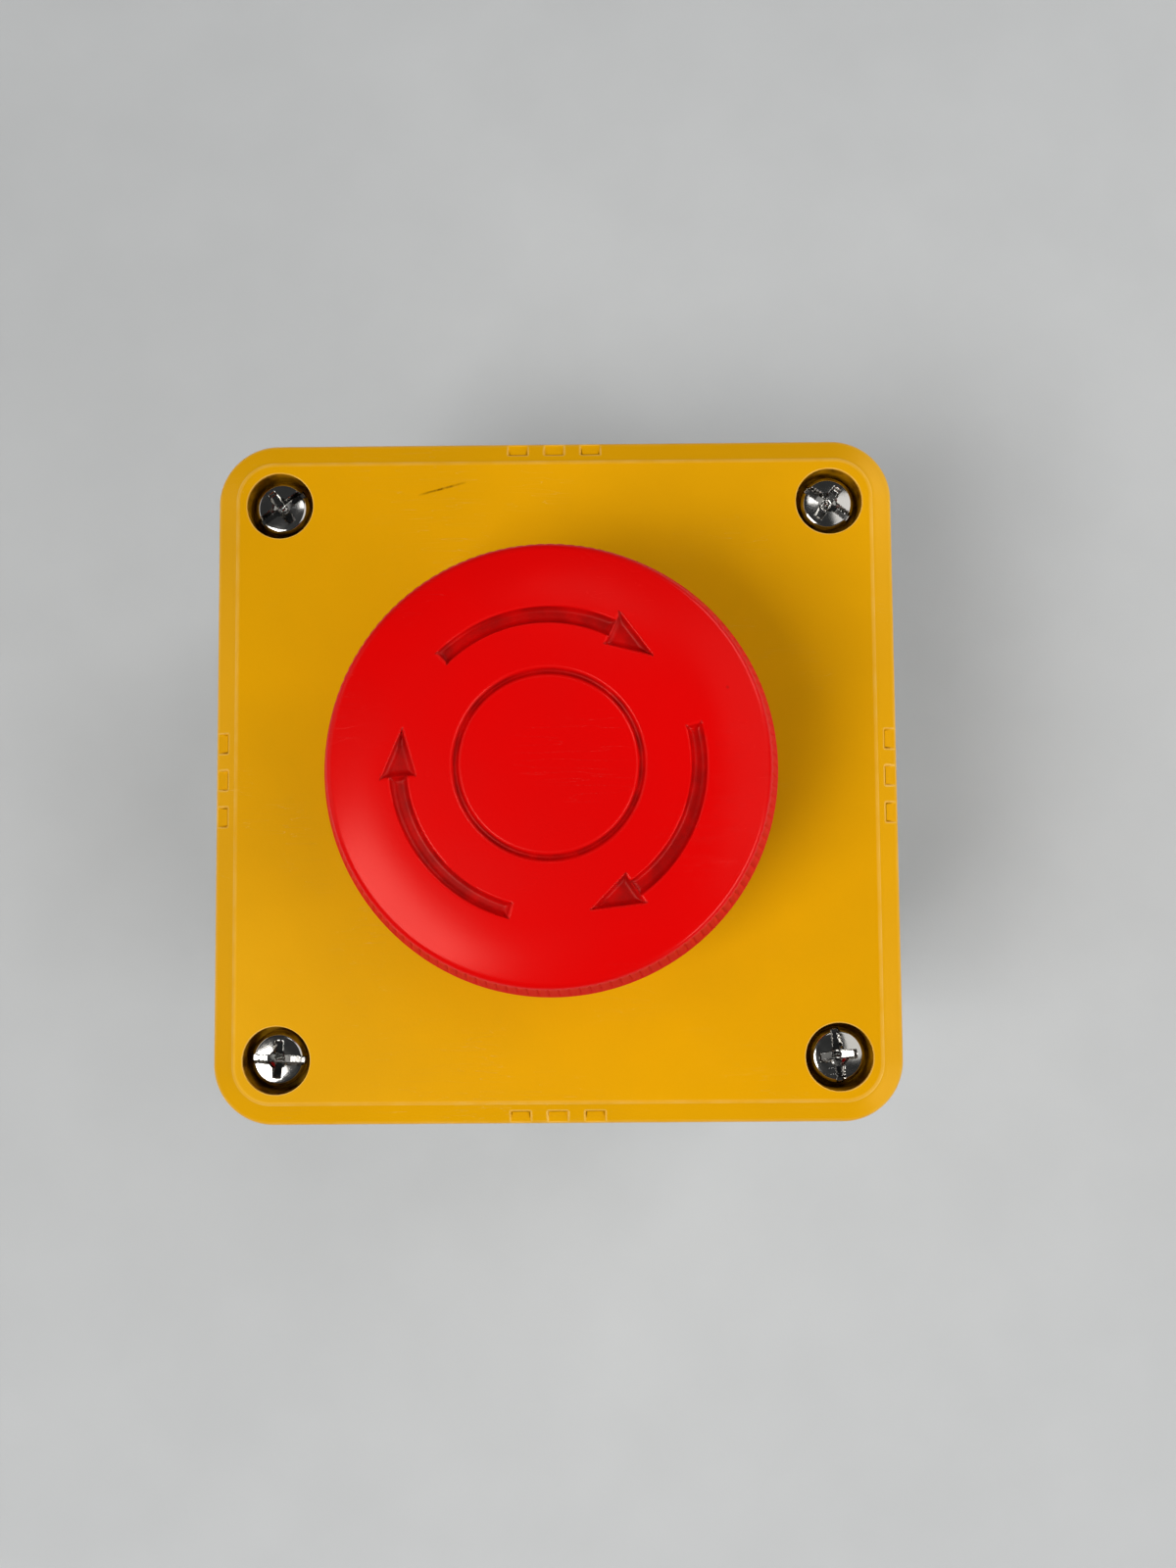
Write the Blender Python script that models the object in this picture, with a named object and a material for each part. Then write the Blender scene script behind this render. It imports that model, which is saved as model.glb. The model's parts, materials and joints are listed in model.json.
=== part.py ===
"""Emergency-stop push-button station: a square wall box with a screwed lid, a twist-release mushroom
head through the lid, and two contact blocks under it, one that opens and one that closes.

Units are metres, +Z points out of the lid. The box lies on its back on the plane z = 0, centred on the
origin. Levels inside the box are counted from the lid's front face, because everything hangs on the lid.
"""

import math

import bmesh
import bpy
from mathutils import Matrix, Vector

MM = 0.001

# ---------------------------------------------------------------- driving dimensions
# Enclosure
LID_WIDTH = 68.0 * MM
BOX_HEIGHT = 53.0 * MM  # back face to the lid's front face
LID_HEIGHT = 15.0 * MM  # seam to the lid's front face
CORNER_RADIUS = 6.0 * MM
LID_WALL = 3.6 * MM
LID_PLATE = 2.6 * MM
BASE_INSET = 0.4 * MM  # the base stands back this far under the lid
BASE_FLOOR = 2.6 * MM
BASE_CHAMFER = 1.0 * MM
BEVEL_WIDTH = 2.2 * MM  # sloping border of the lid's front face
BEVEL_DROP = 1.0 * MM
EDGE_ROUND = 0.3 * MM
NOTCH_LENGTH = 1.9 * MM  # three small marks on the border of each side
NOTCH_PITCH = 3.66 * MM
NOTCH_REACH = 1.35 * MM
NOTCH_DEPTH = 0.3 * MM

# Lid screws and the pillars that they run in
SCREW_INSET = 6.5 * MM  # lid edge to screw axis
PILLAR_RADIUS = 4.4 * MM
RECESS_RADIUS = 3.3 * MM
HEAD_SUNK = 0.5 * MM  # lid face down to the top of the screw head
HEAD_RADIUS = 2.7 * MM
HEAD_HEIGHT = 2.0 * MM
HEAD_DOME = 0.7 * MM
SHANK_RADIUS = 1.5 * MM
SHANK_LENGTH = 21.0 * MM
DRIVE_WIDTH = 0.9 * MM
DRIVE_SPAN = 3.2 * MM
DRIVE_DEPTH = 1.2 * MM
SLOT_DEPTH = 0.55 * MM
DRIVE_TAPER = 0.1 * MM  # the slot is narrower than the cross on each side

# Sealing tongue and gasket
TONGUE_INSET = 1.4 * MM  # lid edge to the tongue's outer side
TONGUE_WIDTH = 0.8 * MM
TONGUE_HEIGHT = 1.1 * MM
GASKET_THICKNESS = 1.0 * MM

# Wall fixings and cable entries of the base
MOUNT_WALL_MARGIN = 3.4 * MM  # inner wall to hole axis
MOUNT_PILLAR_MARGIN = 1.8 * MM  # screw pillar to the hole's edge
MOUNT_RADIUS = 2.3 * MM
KNOCKOUT_RADIUS = 10.2 * MM
KNOCKOUT_GROOVE = 0.8 * MM
KNOCKOUT_SKIN = 1.0 * MM
KNOCKOUT_SLOT_LENGTH = 6.0 * MM

# Clearances
SEAT = 0.3 * MM  # between faces that rest on each other
RUN = 0.4 * MM  # round a sliding or turning piece

# Operating head
HOLE_RADIUS = 11.25 * MM  # the standard 22 mm hole in the lid
FLANGE_LAP = 3.35 * MM  # flange beyond the hole
FLANGE_HEIGHT = 3.0 * MM
FLANGE_CHAMFER = 1.0 * MM
BARREL_LENGTH = 14.0 * MM  # lid face down to the barrel's end
BARREL_WALL = 2.5 * MM
HUB_POCKET_FLOOR = 1.2 * MM  # above the lid face
WEB_THICKNESS = 1.0 * MM
HEAD_SEAL_THICKNESS = 1.0 * MM
STEM_RADIUS = 5.0 * MM
SHOULDER_THICKNESS = 1.9 * MM
STEM_SEAL_THICKNESS = 0.7 * MM
STEM_SEAL_WIDTH = 2.3 * MM
SPRING_SEAT_TOP = 10.6 * MM  # below the lid face
SPRING_SEAT_THICKNESS = 1.0 * MM
RETURN_WIRE = 0.8 * MM
RETURN_TURNS = 3.5
LATCH_WIRE = 1.0 * MM
LATCH_MOUTH = 70.0  # degrees, opening of the C-shaped latch clip
LATCH_GROOVE_DEPTH = 0.7 * MM
HOLDER_FLOOR = 0.8 * MM
TRAVEL = 4.5 * MM  # push of the button

# Mushroom cap
CAP_RADIUS = 20.0 * MM
CAP_RIM_HEIGHT = 12.3 * MM  # lid face up to the cap's rim
CAP_HEIGHT = 6.3 * MM  # rim to the top
CAP_TAPER = 1.1 * MM  # the gripping side narrows by this much towards the top
CAP_PLATE = 2.8 * MM
CAP_SKIRT = 1.8 * MM
CAP_EDGE_ROUND = 0.9 * MM
CAP_CROWN = 0.5 * MM  # fall of the top from its middle to its edge
HUB_STEP = 1.5 * MM  # barrel radius less hub radius
RING_GROOVE_RADIUS = 7.8 * MM
RING_GROOVE_WIDTH = 0.85 * MM
RING_GROOVE_DEPTH = 0.4 * MM
ARROW_COUNT = 3
ARROW_RADIUS = 12.6 * MM
ARROW_TAIL = 44.7  # degrees before the top of the dial, clockwise
ARROW_NECK = 25.6  # degrees past it, where the head starts
ARROW_TIP = 43.7
ARROW_SHAFT_WIDTH = 1.55 * MM
ARROW_HEAD_WIDTH = 3.2 * MM
ARROW_DEPTH = 0.4 * MM

# Fixing nut, contact carrier and pusher, all inside the box
NUT_WALL = 3.2 * MM
NUT_HEIGHT = 4.5 * MM
NUT_NOTCHES = 12
NUT_NOTCH_RADIUS = 1.2 * MM
CARRIER_SIDE = 1.9 * MM  # carrier outside the ear slots
CARRIER_HEIGHT = 6.4 * MM
GRUB_RADIUS = 1.5 * MM
GRUB_SLOT_WIDTH = 0.6 * MM
GRUB_SLOT_DEPTH = 1.0 * MM
PUSHER_LAP = 0.2 * MM  # pusher disc beyond the plungers
PUSHER_HEIGHT = 3.4 * MM
PUSHER_RECESS_ROOM = 0.5 * MM  # round the circlip
PUSHER_RECESS_DEPTH = 1.4 * MM
EAR_ROOM = 0.6 * MM  # barrel to ear
EAR_THICKNESS = 1.2 * MM
EAR_WIDTH = 4.0 * MM
EAR_ARM = 2.2 * MM
CIRCLIP_REACH = 1.4 * MM  # outside the stem
CIRCLIP_MOUTH = 3.2 * MM
CIRCLIP_THICKNESS = 0.8 * MM
CIRCLIP_BITE = 0.6 * MM

# Contact blocks
BLOCK_GAP = 1.0 * MM  # centre plane to a block's inner face
BLOCK_DEPTH = 11.4 * MM
BLOCK_LENGTH = 44.0 * MM
BLOCK_BOTTOM = 41.0 * MM  # below the lid face
BLOCK_WALL = 1.2 * MM
LEG_LENGTH = 5.0 * MM
HOOK_THICKNESS = 1.5 * MM
HOOK_LIP = 1.4 * MM
HOOK_LIP_HEIGHT = 1.2 * MM
HOOK_ROOT = 26.5 * MM  # below the lid face
COVER_THICKNESS = 1.2 * MM
PLUNGER_WIDTH = 6.0 * MM
PLUNGER_THICKNESS = 5.0 * MM
PLUNGER_BOTTOM = 31.6 * MM
PLUNGER_POST = 1.0 * MM
PLUNGER_SHIFT = 0.5 * MM  # outward of the block's middle, since only the inner side has a wall
BRIDGE_WIDTH = 3.4 * MM
BRIDGE_LENGTH = 20.0 * MM
BRIDGE_THICKNESS = 0.8 * MM
TIP_RADIUS = 1.4 * MM
TIP_HEIGHT = 0.6 * MM
TIP_PLACE = 7.6 * MM  # middle of the block to a contact tip
STRIP_INNER = 5.5 * MM
STRIP_END_ROOM = 0.4 * MM
STRIP_THICKNESS = 1.0 * MM
STRIP_WIDTH = 8.0 * MM
TERMINAL_INSET = 3.4 * MM  # strip's outer end to the screw axis
TERMINAL_OPEN = 3.0 * MM  # room for a wire under the strip
CLAMP_SIZE = 6.0 * MM
CLAMP_THICKNESS = 0.8 * MM
TERMINAL_HEAD_RADIUS = 2.5 * MM
TERMINAL_HEAD_HEIGHT = 2.0 * MM
TERMINAL_SLOT_WIDTH = 0.7 * MM
TERMINAL_SLOT_DEPTH = 0.8 * MM
TERMINAL_SHANK = 1.4 * MM
TERMINAL_STICK_OUT = 1.7 * MM
WIRE_WINDOW_WIDTH = 6.4 * MM
WIRE_WINDOW_SILL = 1.2 * MM  # window below the clamp's top
BLOCK_WIRE = 0.5 * MM
BLOCK_COIL_RADIUS = 2.1 * MM
BLOCK_COIL_TURNS = 4.5
NC_STRIP_TOP = 27.2 * MM  # below the lid face; its tips point down and the bridge lies under them
NC_BRIDGE_TRAVEL = 3.6 * MM
NO_STRIP_TOP = 31.0 * MM  # its tips point up and the bridge waits above them
NO_BRIDGE_TRAVEL = 3.2 * MM

# Roundness of the model
ROUND_STEPS = 36
SMALL_STEPS = 20
CAP_STEPS = 48
CORNER_STEPS = 5

# ---------------------------------------------------------------- levels and places that follow
FACE = BOX_HEIGHT
HALF = LID_WIDTH / 2
BASE_HALF = HALF - BASE_INSET
INNER_HALF = HALF - LID_WALL
SEAM = BOX_HEIGHT - LID_HEIGHT
BASE_RIM = SEAM - SEAT / 2
LID_EDGE = SEAM + SEAT / 2
SCREW_PLACE = HALF - SCREW_INSET
MOUNT_X = SCREW_PLACE - PILLAR_RADIUS - MOUNT_PILLAR_MARGIN - MOUNT_RADIUS
MOUNT_Y = INNER_HALF - MOUNT_WALL_MARGIN
KNOCKOUT_HEIGHT = (BASE_FLOOR + BASE_RIM) / 2
HEAD_SEAT = FACE - HEAD_SUNK - HEAD_HEIGHT
BARREL_RADIUS = HOLE_RADIUS - SEAT
BARREL_BORE = BARREL_RADIUS - BARREL_WALL
FLANGE_RADIUS = HOLE_RADIUS + FLANGE_LAP
FLANGE_BOTTOM = FACE + 2 * SEAT + HEAD_SEAL_THICKNESS
FLANGE_TOP = FLANGE_BOTTOM + FLANGE_HEIGHT
BARREL_END = FACE - BARREL_LENGTH
WEB_TOP = FACE + HUB_POCKET_FLOOR
WEB_BOTTOM = WEB_TOP - WEB_THICKNESS
STEM_SEAL_TOP = WEB_TOP + SEAT + STEM_SEAL_THICKNESS
SHOULDER_TOP = WEB_BOTTOM - SEAT
SHOULDER_BOTTOM = SHOULDER_TOP - SHOULDER_THICKNESS
CAP_RIM = FACE + CAP_RIM_HEIGHT
CAP_TOP = CAP_RIM + CAP_HEIGHT
CAP_UNDER = CAP_TOP - CAP_PLATE
CAP_TOP_RADIUS = CAP_RADIUS - CAP_TAPER
HUB_RADIUS = BARREL_RADIUS - HUB_STEP
HUB_BOTTOM = STEM_SEAL_TOP + TRAVEL + SEAT
HOLDER_TOP = FACE - SPRING_SEAT_TOP - SPRING_SEAT_THICKNESS - SEAT
LATCH_LEVEL = BARREL_END + HOLDER_FLOOR + SEAT + LATCH_WIRE / 2
PUSHER_TOP = BARREL_END - SEAT
PUSHER_BOTTOM = PUSHER_TOP - PUSHER_HEIGHT
CIRCLIP_TOP = PUSHER_BOTTOM + PUSHER_RECESS_DEPTH - SEAT
CIRCLIP_RADIUS = STEM_RADIUS + CIRCLIP_REACH
PUSHER_RECESS_RADIUS = CIRCLIP_RADIUS + PUSHER_RECESS_ROOM
NUT_RADIUS = BARREL_RADIUS + SEAT + NUT_WALL
NUT_TOP = FACE - LID_PLATE - SEAT
NUT_BOTTOM = NUT_TOP - NUT_HEIGHT
CARRIER_TOP = NUT_BOTTOM - SEAT
CARRIER_BOTTOM = CARRIER_TOP - CARRIER_HEIGHT
LEG_TOP = CARRIER_BOTTOM - SEAT
PLUNGER_TOP = PUSHER_BOTTOM - SEAT
BLOCK_TOP = PUSHER_BOTTOM - TRAVEL - RUN - 0.1 * MM
BLOCK_FLOOR = FACE - BLOCK_BOTTOM
PLUNGER_MIDDLE = BLOCK_GAP + BLOCK_DEPTH / 2 + PLUNGER_SHIFT  # from the centre plane
PUSHER_RADIUS = PLUNGER_MIDDLE + PLUNGER_WIDTH / 2 + PUSHER_LAP
EAR_INNER = max(BARREL_RADIUS + EAR_ROOM, PUSHER_RADIUS + EAR_ROOM)
EAR_OUTER = EAR_INNER + EAR_THICKNESS
CARRIER_HALF_WIDTH = EAR_OUTER + RUN + CARRIER_SIDE
CARRIER_HALF_LENGTH = BLOCK_LENGTH / 2 - SEAT
HOOK_TOP = CARRIER_TOP + SEAT + HOOK_LIP_HEIGHT
STRIP_OUTER = BLOCK_LENGTH / 2 - BLOCK_WALL - STRIP_END_ROOM
TERMINAL_PLACE = STRIP_OUTER - TERMINAL_INSET


# ---------------------------------------------------------------- materials
def plain(name, colour, roughness, metallic=0.0):
    """A Principled material with one colour."""
    made = bpy.data.materials.new(name)
    made.use_nodes = True
    shader = made.node_tree.nodes["Principled BSDF"]
    shader.inputs["Base Color"].default_value = (*colour, 1.0)
    shader.inputs["Roughness"].default_value = roughness
    shader.inputs["Metallic"].default_value = metallic
    made.diffuse_color = (*colour, 1.0)
    return made


def make_materials():
    return {
        "yellow": plain("lid_yellow", (0.80, 0.40, 0.005), 0.45),
        "grey": plain("base_grey", (0.55, 0.56, 0.54), 0.50),
        "red": plain("cap_red", (0.75, 0.003, 0.003), 0.35),
        "black": plain("head_black", (0.02, 0.02, 0.022), 0.45),
        "rubber": plain("seal_rubber", (0.03, 0.03, 0.03), 0.80),
        "steel": plain("screw_steel", (0.60, 0.60, 0.58), 0.25, 1.0),
        "spring": plain("spring_steel", (0.45, 0.46, 0.48), 0.30, 1.0),
        "brass": plain("contact_brass", (0.70, 0.50, 0.18), 0.35, 1.0),
        "silver": plain("bridge_silver", (0.75, 0.74, 0.70), 0.30, 1.0),
        "housing": plain("block_housing", (0.10, 0.10, 0.11), 0.50),
        "white": plain("stem_white", (0.72, 0.71, 0.66), 0.45),
        "plunger_nc": plain("plunger_red", (0.55, 0.02, 0.02), 0.45),
        "plunger_no": plain("plunger_green", (0.02, 0.30, 0.08), 0.45),
    }


# ---------------------------------------------------------------- shape tools
def clear_scene():
    for old in list(bpy.data.objects):
        bpy.data.objects.remove(old, do_unlink=True)


def new_object(name, shape, material=None, parent=None):
    """Puts a bmesh in the scene as an object, and frees the bmesh."""
    bmesh.ops.recalc_face_normals(shape, faces=shape.faces)
    mesh = bpy.data.meshes.new(name)
    shape.to_mesh(mesh)
    shape.free()
    made = bpy.data.objects.new(name, mesh)
    bpy.context.scene.collection.objects.link(made)
    if material:
        mesh.materials.append(material)
    if parent:
        made.parent = parent
        made.matrix_parent_inverse = parent.matrix_world.inverted()
    return made


def smooth(made, angle=35.0):
    made.data.shade_smooth()
    made.data.set_sharp_from_angle(angle=math.radians(angle))
    return made


def axis_empty(name, place):
    """A pivot that moving pieces hang from."""
    made = bpy.data.objects.new(name, None)
    made.location = place
    made.empty_display_size = 5 * MM
    bpy.context.scene.collection.objects.link(made)
    bpy.context.view_layer.update()
    return made


def boolean(target, shape, name, operation="DIFFERENCE"):
    """Cuts the bmesh from the target, or joins it on, with a hidden helper object."""
    helper = new_object(name, shape)
    helper.hide_render = True
    helper.display_type = "WIRE"
    modifier = target.modifiers.new(name, "BOOLEAN")
    modifier.operation = operation
    modifier.solver = "EXACT"
    modifier.object = helper
    return target


def turned(profile, steps=ROUND_STEPS, ring=True):
    """Spins a profile of (radius, height) round Z. A ring's profile is a closed loop off the axis. Any
    other profile is a line from axis to axis."""
    shape = bmesh.new()
    verts = [shape.verts.new((r, 0.0, z)) for r, z in profile]
    pairs = list(zip(verts, verts[1:]))
    if ring:
        pairs.append((verts[-1], verts[0]))
    edges = [shape.edges.new(pair) for pair in pairs]
    bmesh.ops.spin(
        shape, geom=verts + edges, cent=(0, 0, 0), axis=(0, 0, 1), angle=2 * math.pi, steps=steps
    )
    bmesh.ops.remove_doubles(shape, verts=shape.verts, dist=1e-6)
    return shape


def washer(inner, outer, low, high, steps=ROUND_STEPS):
    return turned([(inner, low), (outer, low), (outer, high), (inner, high)], steps)


def rod(radius, low, high, steps=SMALL_STEPS):
    return turned([(0, low), (radius, low), (radius, high), (0, high)], steps, ring=False)


def loft(loops):
    """Skins a stack of point loops with equal counts, and caps both ends."""
    shape = bmesh.new()
    rings = [[shape.verts.new(p) for p in loop] for loop in loops]
    for low, high in zip(rings, rings[1:]):
        for i in range(len(low)):
            j = (i + 1) % len(low)
            shape.faces.new((low[i], low[j], high[j], high[i]))
    shape.faces.new(list(reversed(rings[0])))
    shape.faces.new(rings[-1])
    return shape


def prism(outline, low, high):
    return loft([[(x, y, z) for x, y in outline] for z in (low, high)])


def block(x0, x1, y0, y1, z0, z1):
    low_x, high_x = min(x0, x1), max(x0, x1)
    return prism([(low_x, y0), (high_x, y0), (high_x, y1), (low_x, y1)], z0, z1)


def moved(shape, offset):
    bmesh.ops.translate(shape, verts=shape.verts, vec=Vector(offset))
    return shape


def turned_to(shape, axis, angle):
    bmesh.ops.rotate(shape, verts=shape.verts, cent=(0, 0, 0), matrix=Matrix.Rotation(angle, 3, axis))
    return shape


def together(shapes):
    """Several separate bodies in one bmesh, for use as one cutter."""
    whole = bmesh.new()
    for shape in shapes:
        bmesh.ops.recalc_face_normals(shape, faces=shape.faces)
        mesh = bpy.data.meshes.new("piece")
        shape.to_mesh(mesh)
        shape.free()
        whole.from_mesh(mesh)
        bpy.data.meshes.remove(mesh)
    return whole


def arc(centre, radius, start, end, steps):
    """Points on a circle from start to end, in degrees."""
    angles = [math.radians(start + (end - start) * i / steps) for i in range(steps + 1)]
    return [(centre[0] + radius * math.cos(a), centre[1] + radius * math.sin(a)) for a in angles]


def rounded_rectangle(half_x, half_y, radius, steps=CORNER_STEPS):
    points = []
    for turn, (sx, sy) in enumerate(((1, 1), (-1, 1), (-1, -1), (1, -1))):
        centre = (sx * (half_x - radius), sy * (half_y - radius))
        points += arc(centre, radius, 90 * turn, 90 * turn + 90, steps)
    return points


def rounded_square(half, radius):
    return rounded_rectangle(half, half, radius)


def pillared_outline(half, place, pillar):
    """A square of the given half side with a round-nosed pillar left standing in each corner."""
    nose = arc((place, place), pillar, -90, -180, CORNER_STEPS)
    corner = [(half, place - pillar), *nose, (place - pillar, half)]
    points = []
    for turn in range(4):
        c, s = round(math.cos(turn * math.pi / 2)), round(math.sin(turn * math.pi / 2))
        points += [(c * x - s * y, s * x + c * y) for x, y in corner]
    return points


def inset_square(inset):
    """The lid's outline drawn in by this much all round."""
    return rounded_square(HALF - inset, CORNER_RADIUS - inset)


def square_ring(outer_inset, inner_inset, low, high):
    """A frame of rectangular section that follows the lid's outline."""
    shape = bmesh.new()
    sections = ((outer_inset, low), (outer_inset, high), (inner_inset, high), (inner_inset, low))
    rings = [[shape.verts.new((x, y, z)) for x, y in inset_square(inset)] for inset, z in sections]
    for ring, following in zip(rings, rings[1:] + rings[:1]):
        for i in range(len(ring)):
            j = (i + 1) % len(ring)
            shape.faces.new((ring[i], ring[j], following[j], following[i]))
    return shape


def at_corners(make):
    """Four copies of a shape, one on each lid screw's axis."""
    places = [(sx * SCREW_PLACE, sy * SCREW_PLACE, 0) for sx, sy in ((1, 1), (-1, 1), (-1, -1), (1, -1))]
    return [moved(make(), place) for place in places]


def helix_curve(name, centre, low, high, radius, wire, turns, points_a_turn, material, parent=None):
    """A compression spring as a bevelled curve. The first and last half turns lie flat."""
    low_end, high_end = low + wire / 2, high - wire / 2
    count = round(turns * points_a_turn)
    flat = 0.5 / turns
    spline_points = []
    for i in range(count + 1):
        t = i / count
        rise = min(max((t - flat) / (1 - 2 * flat), 0.0), 1.0)
        z = low_end + (high_end - low_end) * rise
        angle = 2 * math.pi * turns * t
        spline_points.append((centre[0] + radius * math.cos(angle), centre[1] + radius * math.sin(angle), z))
    data = bpy.data.curves.new(name, "CURVE")
    data.dimensions = "3D"
    data.bevel_depth = wire / 2
    data.bevel_resolution = 1
    data.use_fill_caps = True
    spline = data.splines.new("POLY")
    spline.points.add(count)
    for point, place in zip(spline.points, spline_points):
        point.co = (*place, 1.0)
    data.materials.append(material)
    made = bpy.data.objects.new(name, data)
    bpy.context.scene.collection.objects.link(made)
    if parent:
        made.parent = parent
        made.matrix_parent_inverse = parent.matrix_world.inverted()
    return made


# ---------------------------------------------------------------- enclosure
def make_base(material):
    """Open box with a floor, four screw pillars, a sealing tongue, wall fixing holes and two knock-outs."""
    levels = ((BASE_INSET + BASE_CHAMFER, 0), (BASE_INSET, BASE_CHAMFER), (BASE_INSET, BASE_RIM))
    shape = loft([[(x, y, z) for x, y in inset_square(inset)] for inset, z in levels])
    base = new_object("base_box", shape, material)
    outline = pillared_outline(INNER_HALF, SCREW_PLACE, PILLAR_RADIUS)
    cavity = prism(outline, BASE_FLOOR, BASE_RIM + LID_HEIGHT)
    boolean(base, cavity, "cut_base_cavity")

    low, high = BASE_RIM - TONGUE_HEIGHT, BASE_RIM + TONGUE_HEIGHT
    tongue = square_ring(TONGUE_INSET, TONGUE_INSET + TONGUE_WIDTH, low, high)
    boolean(base, tongue, "join_tongue", "UNION")

    pilot_bottom = HEAD_SEAT - SHANK_LENGTH - 1.5 * MM
    pilots = at_corners(lambda: rod(SHANK_RADIUS + SEAT, pilot_bottom, BASE_RIM + LID_HEIGHT))
    mounts = [
        moved(rod(MOUNT_RADIUS, -BASE_FLOOR, 2 * BASE_FLOOR), (sx * MOUNT_X, sy * MOUNT_Y, 0))
        for sx in (-1, 1)
        for sy in (-1, 1)
    ]
    boolean(base, together(pilots + mounts), "cut_base_holes")
    boolean(base, together(knockout_cutters()), "cut_knockouts")
    return base


def knockout_cutters():
    """A ring groove and a screwdriver slot in the outside of the two end walls."""
    cutters = []
    depth = LID_WALL - BASE_INSET - KNOCKOUT_SKIN
    for side in (-1, 1):
        groove = washer(KNOCKOUT_RADIUS - KNOCKOUT_GROOVE, KNOCKOUT_RADIUS, -depth, depth)
        turned_to(groove, "X", math.pi / 2)
        cutters.append(moved(groove, (0, side * BASE_HALF, KNOCKOUT_HEIGHT)))
        slot = block(
            -KNOCKOUT_SLOT_LENGTH / 2,
            KNOCKOUT_SLOT_LENGTH / 2,
            side * BASE_HALF - depth / 2,
            side * BASE_HALF + depth / 2,
            KNOCKOUT_HEIGHT - KNOCKOUT_GROOVE / 2,
            KNOCKOUT_HEIGHT + KNOCKOUT_GROOVE / 2,
        )
        cutters.append(slot)
    return cutters


def make_lid(material):
    """Yellow lid: a deep plate with a sloping border, screw recesses, the head's hole and a gasket groove."""
    levels = (
        (0, LID_EDGE),
        (0, FACE - BEVEL_DROP - EDGE_ROUND),
        (EDGE_ROUND, FACE - BEVEL_DROP),
        (BEVEL_WIDTH, FACE),
    )
    loops = [[(x, y, z) for x, y in inset_square(inset)] for inset, z in levels]
    lid = new_object("lid", loft(loops), material)
    cavity = prism(
        pillared_outline(INNER_HALF, SCREW_PLACE, PILLAR_RADIUS), LID_EDGE - LID_HEIGHT, FACE - LID_PLATE
    )
    boolean(lid, cavity, "cut_lid_cavity")

    groove_top = LID_EDGE - SEAT + TONGUE_HEIGHT + GASKET_THICKNESS + 2 * SEAT
    groove_inner = TONGUE_INSET + TONGUE_WIDTH + RUN
    groove = square_ring(TONGUE_INSET - RUN, groove_inner, LID_EDGE - LID_HEIGHT / 2, groove_top)
    boolean(lid, groove, "cut_gasket_groove")

    recesses = at_corners(lambda: rod(RECESS_RADIUS, HEAD_SEAT - SEAT, FACE + LID_PLATE))
    boolean(lid, together(recesses), "cut_screw_recesses")
    holes = at_corners(lambda: rod(SHANK_RADIUS + SEAT, LID_EDGE - LID_HEIGHT / 2, FACE + LID_PLATE))
    holes.append(rod(HOLE_RADIUS, FACE - 3 * LID_PLATE, FACE + LID_PLATE, ROUND_STEPS))
    boolean(lid, together(holes), "cut_lid_holes")
    boolean(lid, together(notch_cutters()), "cut_border_notches")
    return lid


def notch_cutters():
    """Three small recesses in the middle of each side's sloping border, parallel to the slope."""
    slope = BEVEL_DROP / (BEVEL_WIDTH - EDGE_ROUND)
    low_edge = FACE - BEVEL_DROP - NOTCH_DEPTH
    outside = 1.0 * MM
    section = [
        (HALF + outside, low_edge - (outside + EDGE_ROUND) * slope),
        (HALF + outside, FACE + outside),
        (HALF - NOTCH_REACH, FACE + outside),
        (HALF - NOTCH_REACH, low_edge + (NOTCH_REACH - EDGE_ROUND) * slope),
    ]
    cutters = []
    for turn in range(4):
        for place in (-NOTCH_PITCH, 0.0, NOTCH_PITCH):
            loops = [[(x, place + side * NOTCH_LENGTH / 2, z) for x, z in section] for side in (-1, 1)]
            cutters.append(turned_to(loft(loops), "Z", turn * math.pi / 2))
    return cutters


def make_gasket(material):
    low = BASE_RIM + TONGUE_HEIGHT + SEAT
    shape = square_ring(TONGUE_INSET, TONGUE_INSET + TONGUE_WIDTH, low, low + GASKET_THICKNESS)
    return new_object("lid_gasket", shape, material)


def screw_shape():
    """Pan-headed screw with its head upward, standing on the origin of the head's underside."""
    profile = [
        (0, -SHANK_LENGTH),
        (SHANK_RADIUS - 0.5 * MM, -SHANK_LENGTH),
        (SHANK_RADIUS, -SHANK_LENGTH + 0.8 * MM),
        (SHANK_RADIUS, 0),
        (HEAD_RADIUS, 0),
        (HEAD_RADIUS, HEAD_HEIGHT - HEAD_DOME),
        (HEAD_RADIUS * 0.86, HEAD_HEIGHT - HEAD_DOME * 0.45),
        (HEAD_RADIUS * 0.55, HEAD_HEIGHT - HEAD_DOME * 0.1),
        (0, HEAD_HEIGHT),
    ]
    return turned(profile, 24, ring=False)


def drive_cutter(half_x, half_y, depth):
    """One arm of the drive recess, cut down from the top of the head."""
    return block(-half_x, half_x, -half_y, half_y, HEAD_HEIGHT - depth, 2 * HEAD_HEIGHT)


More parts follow.
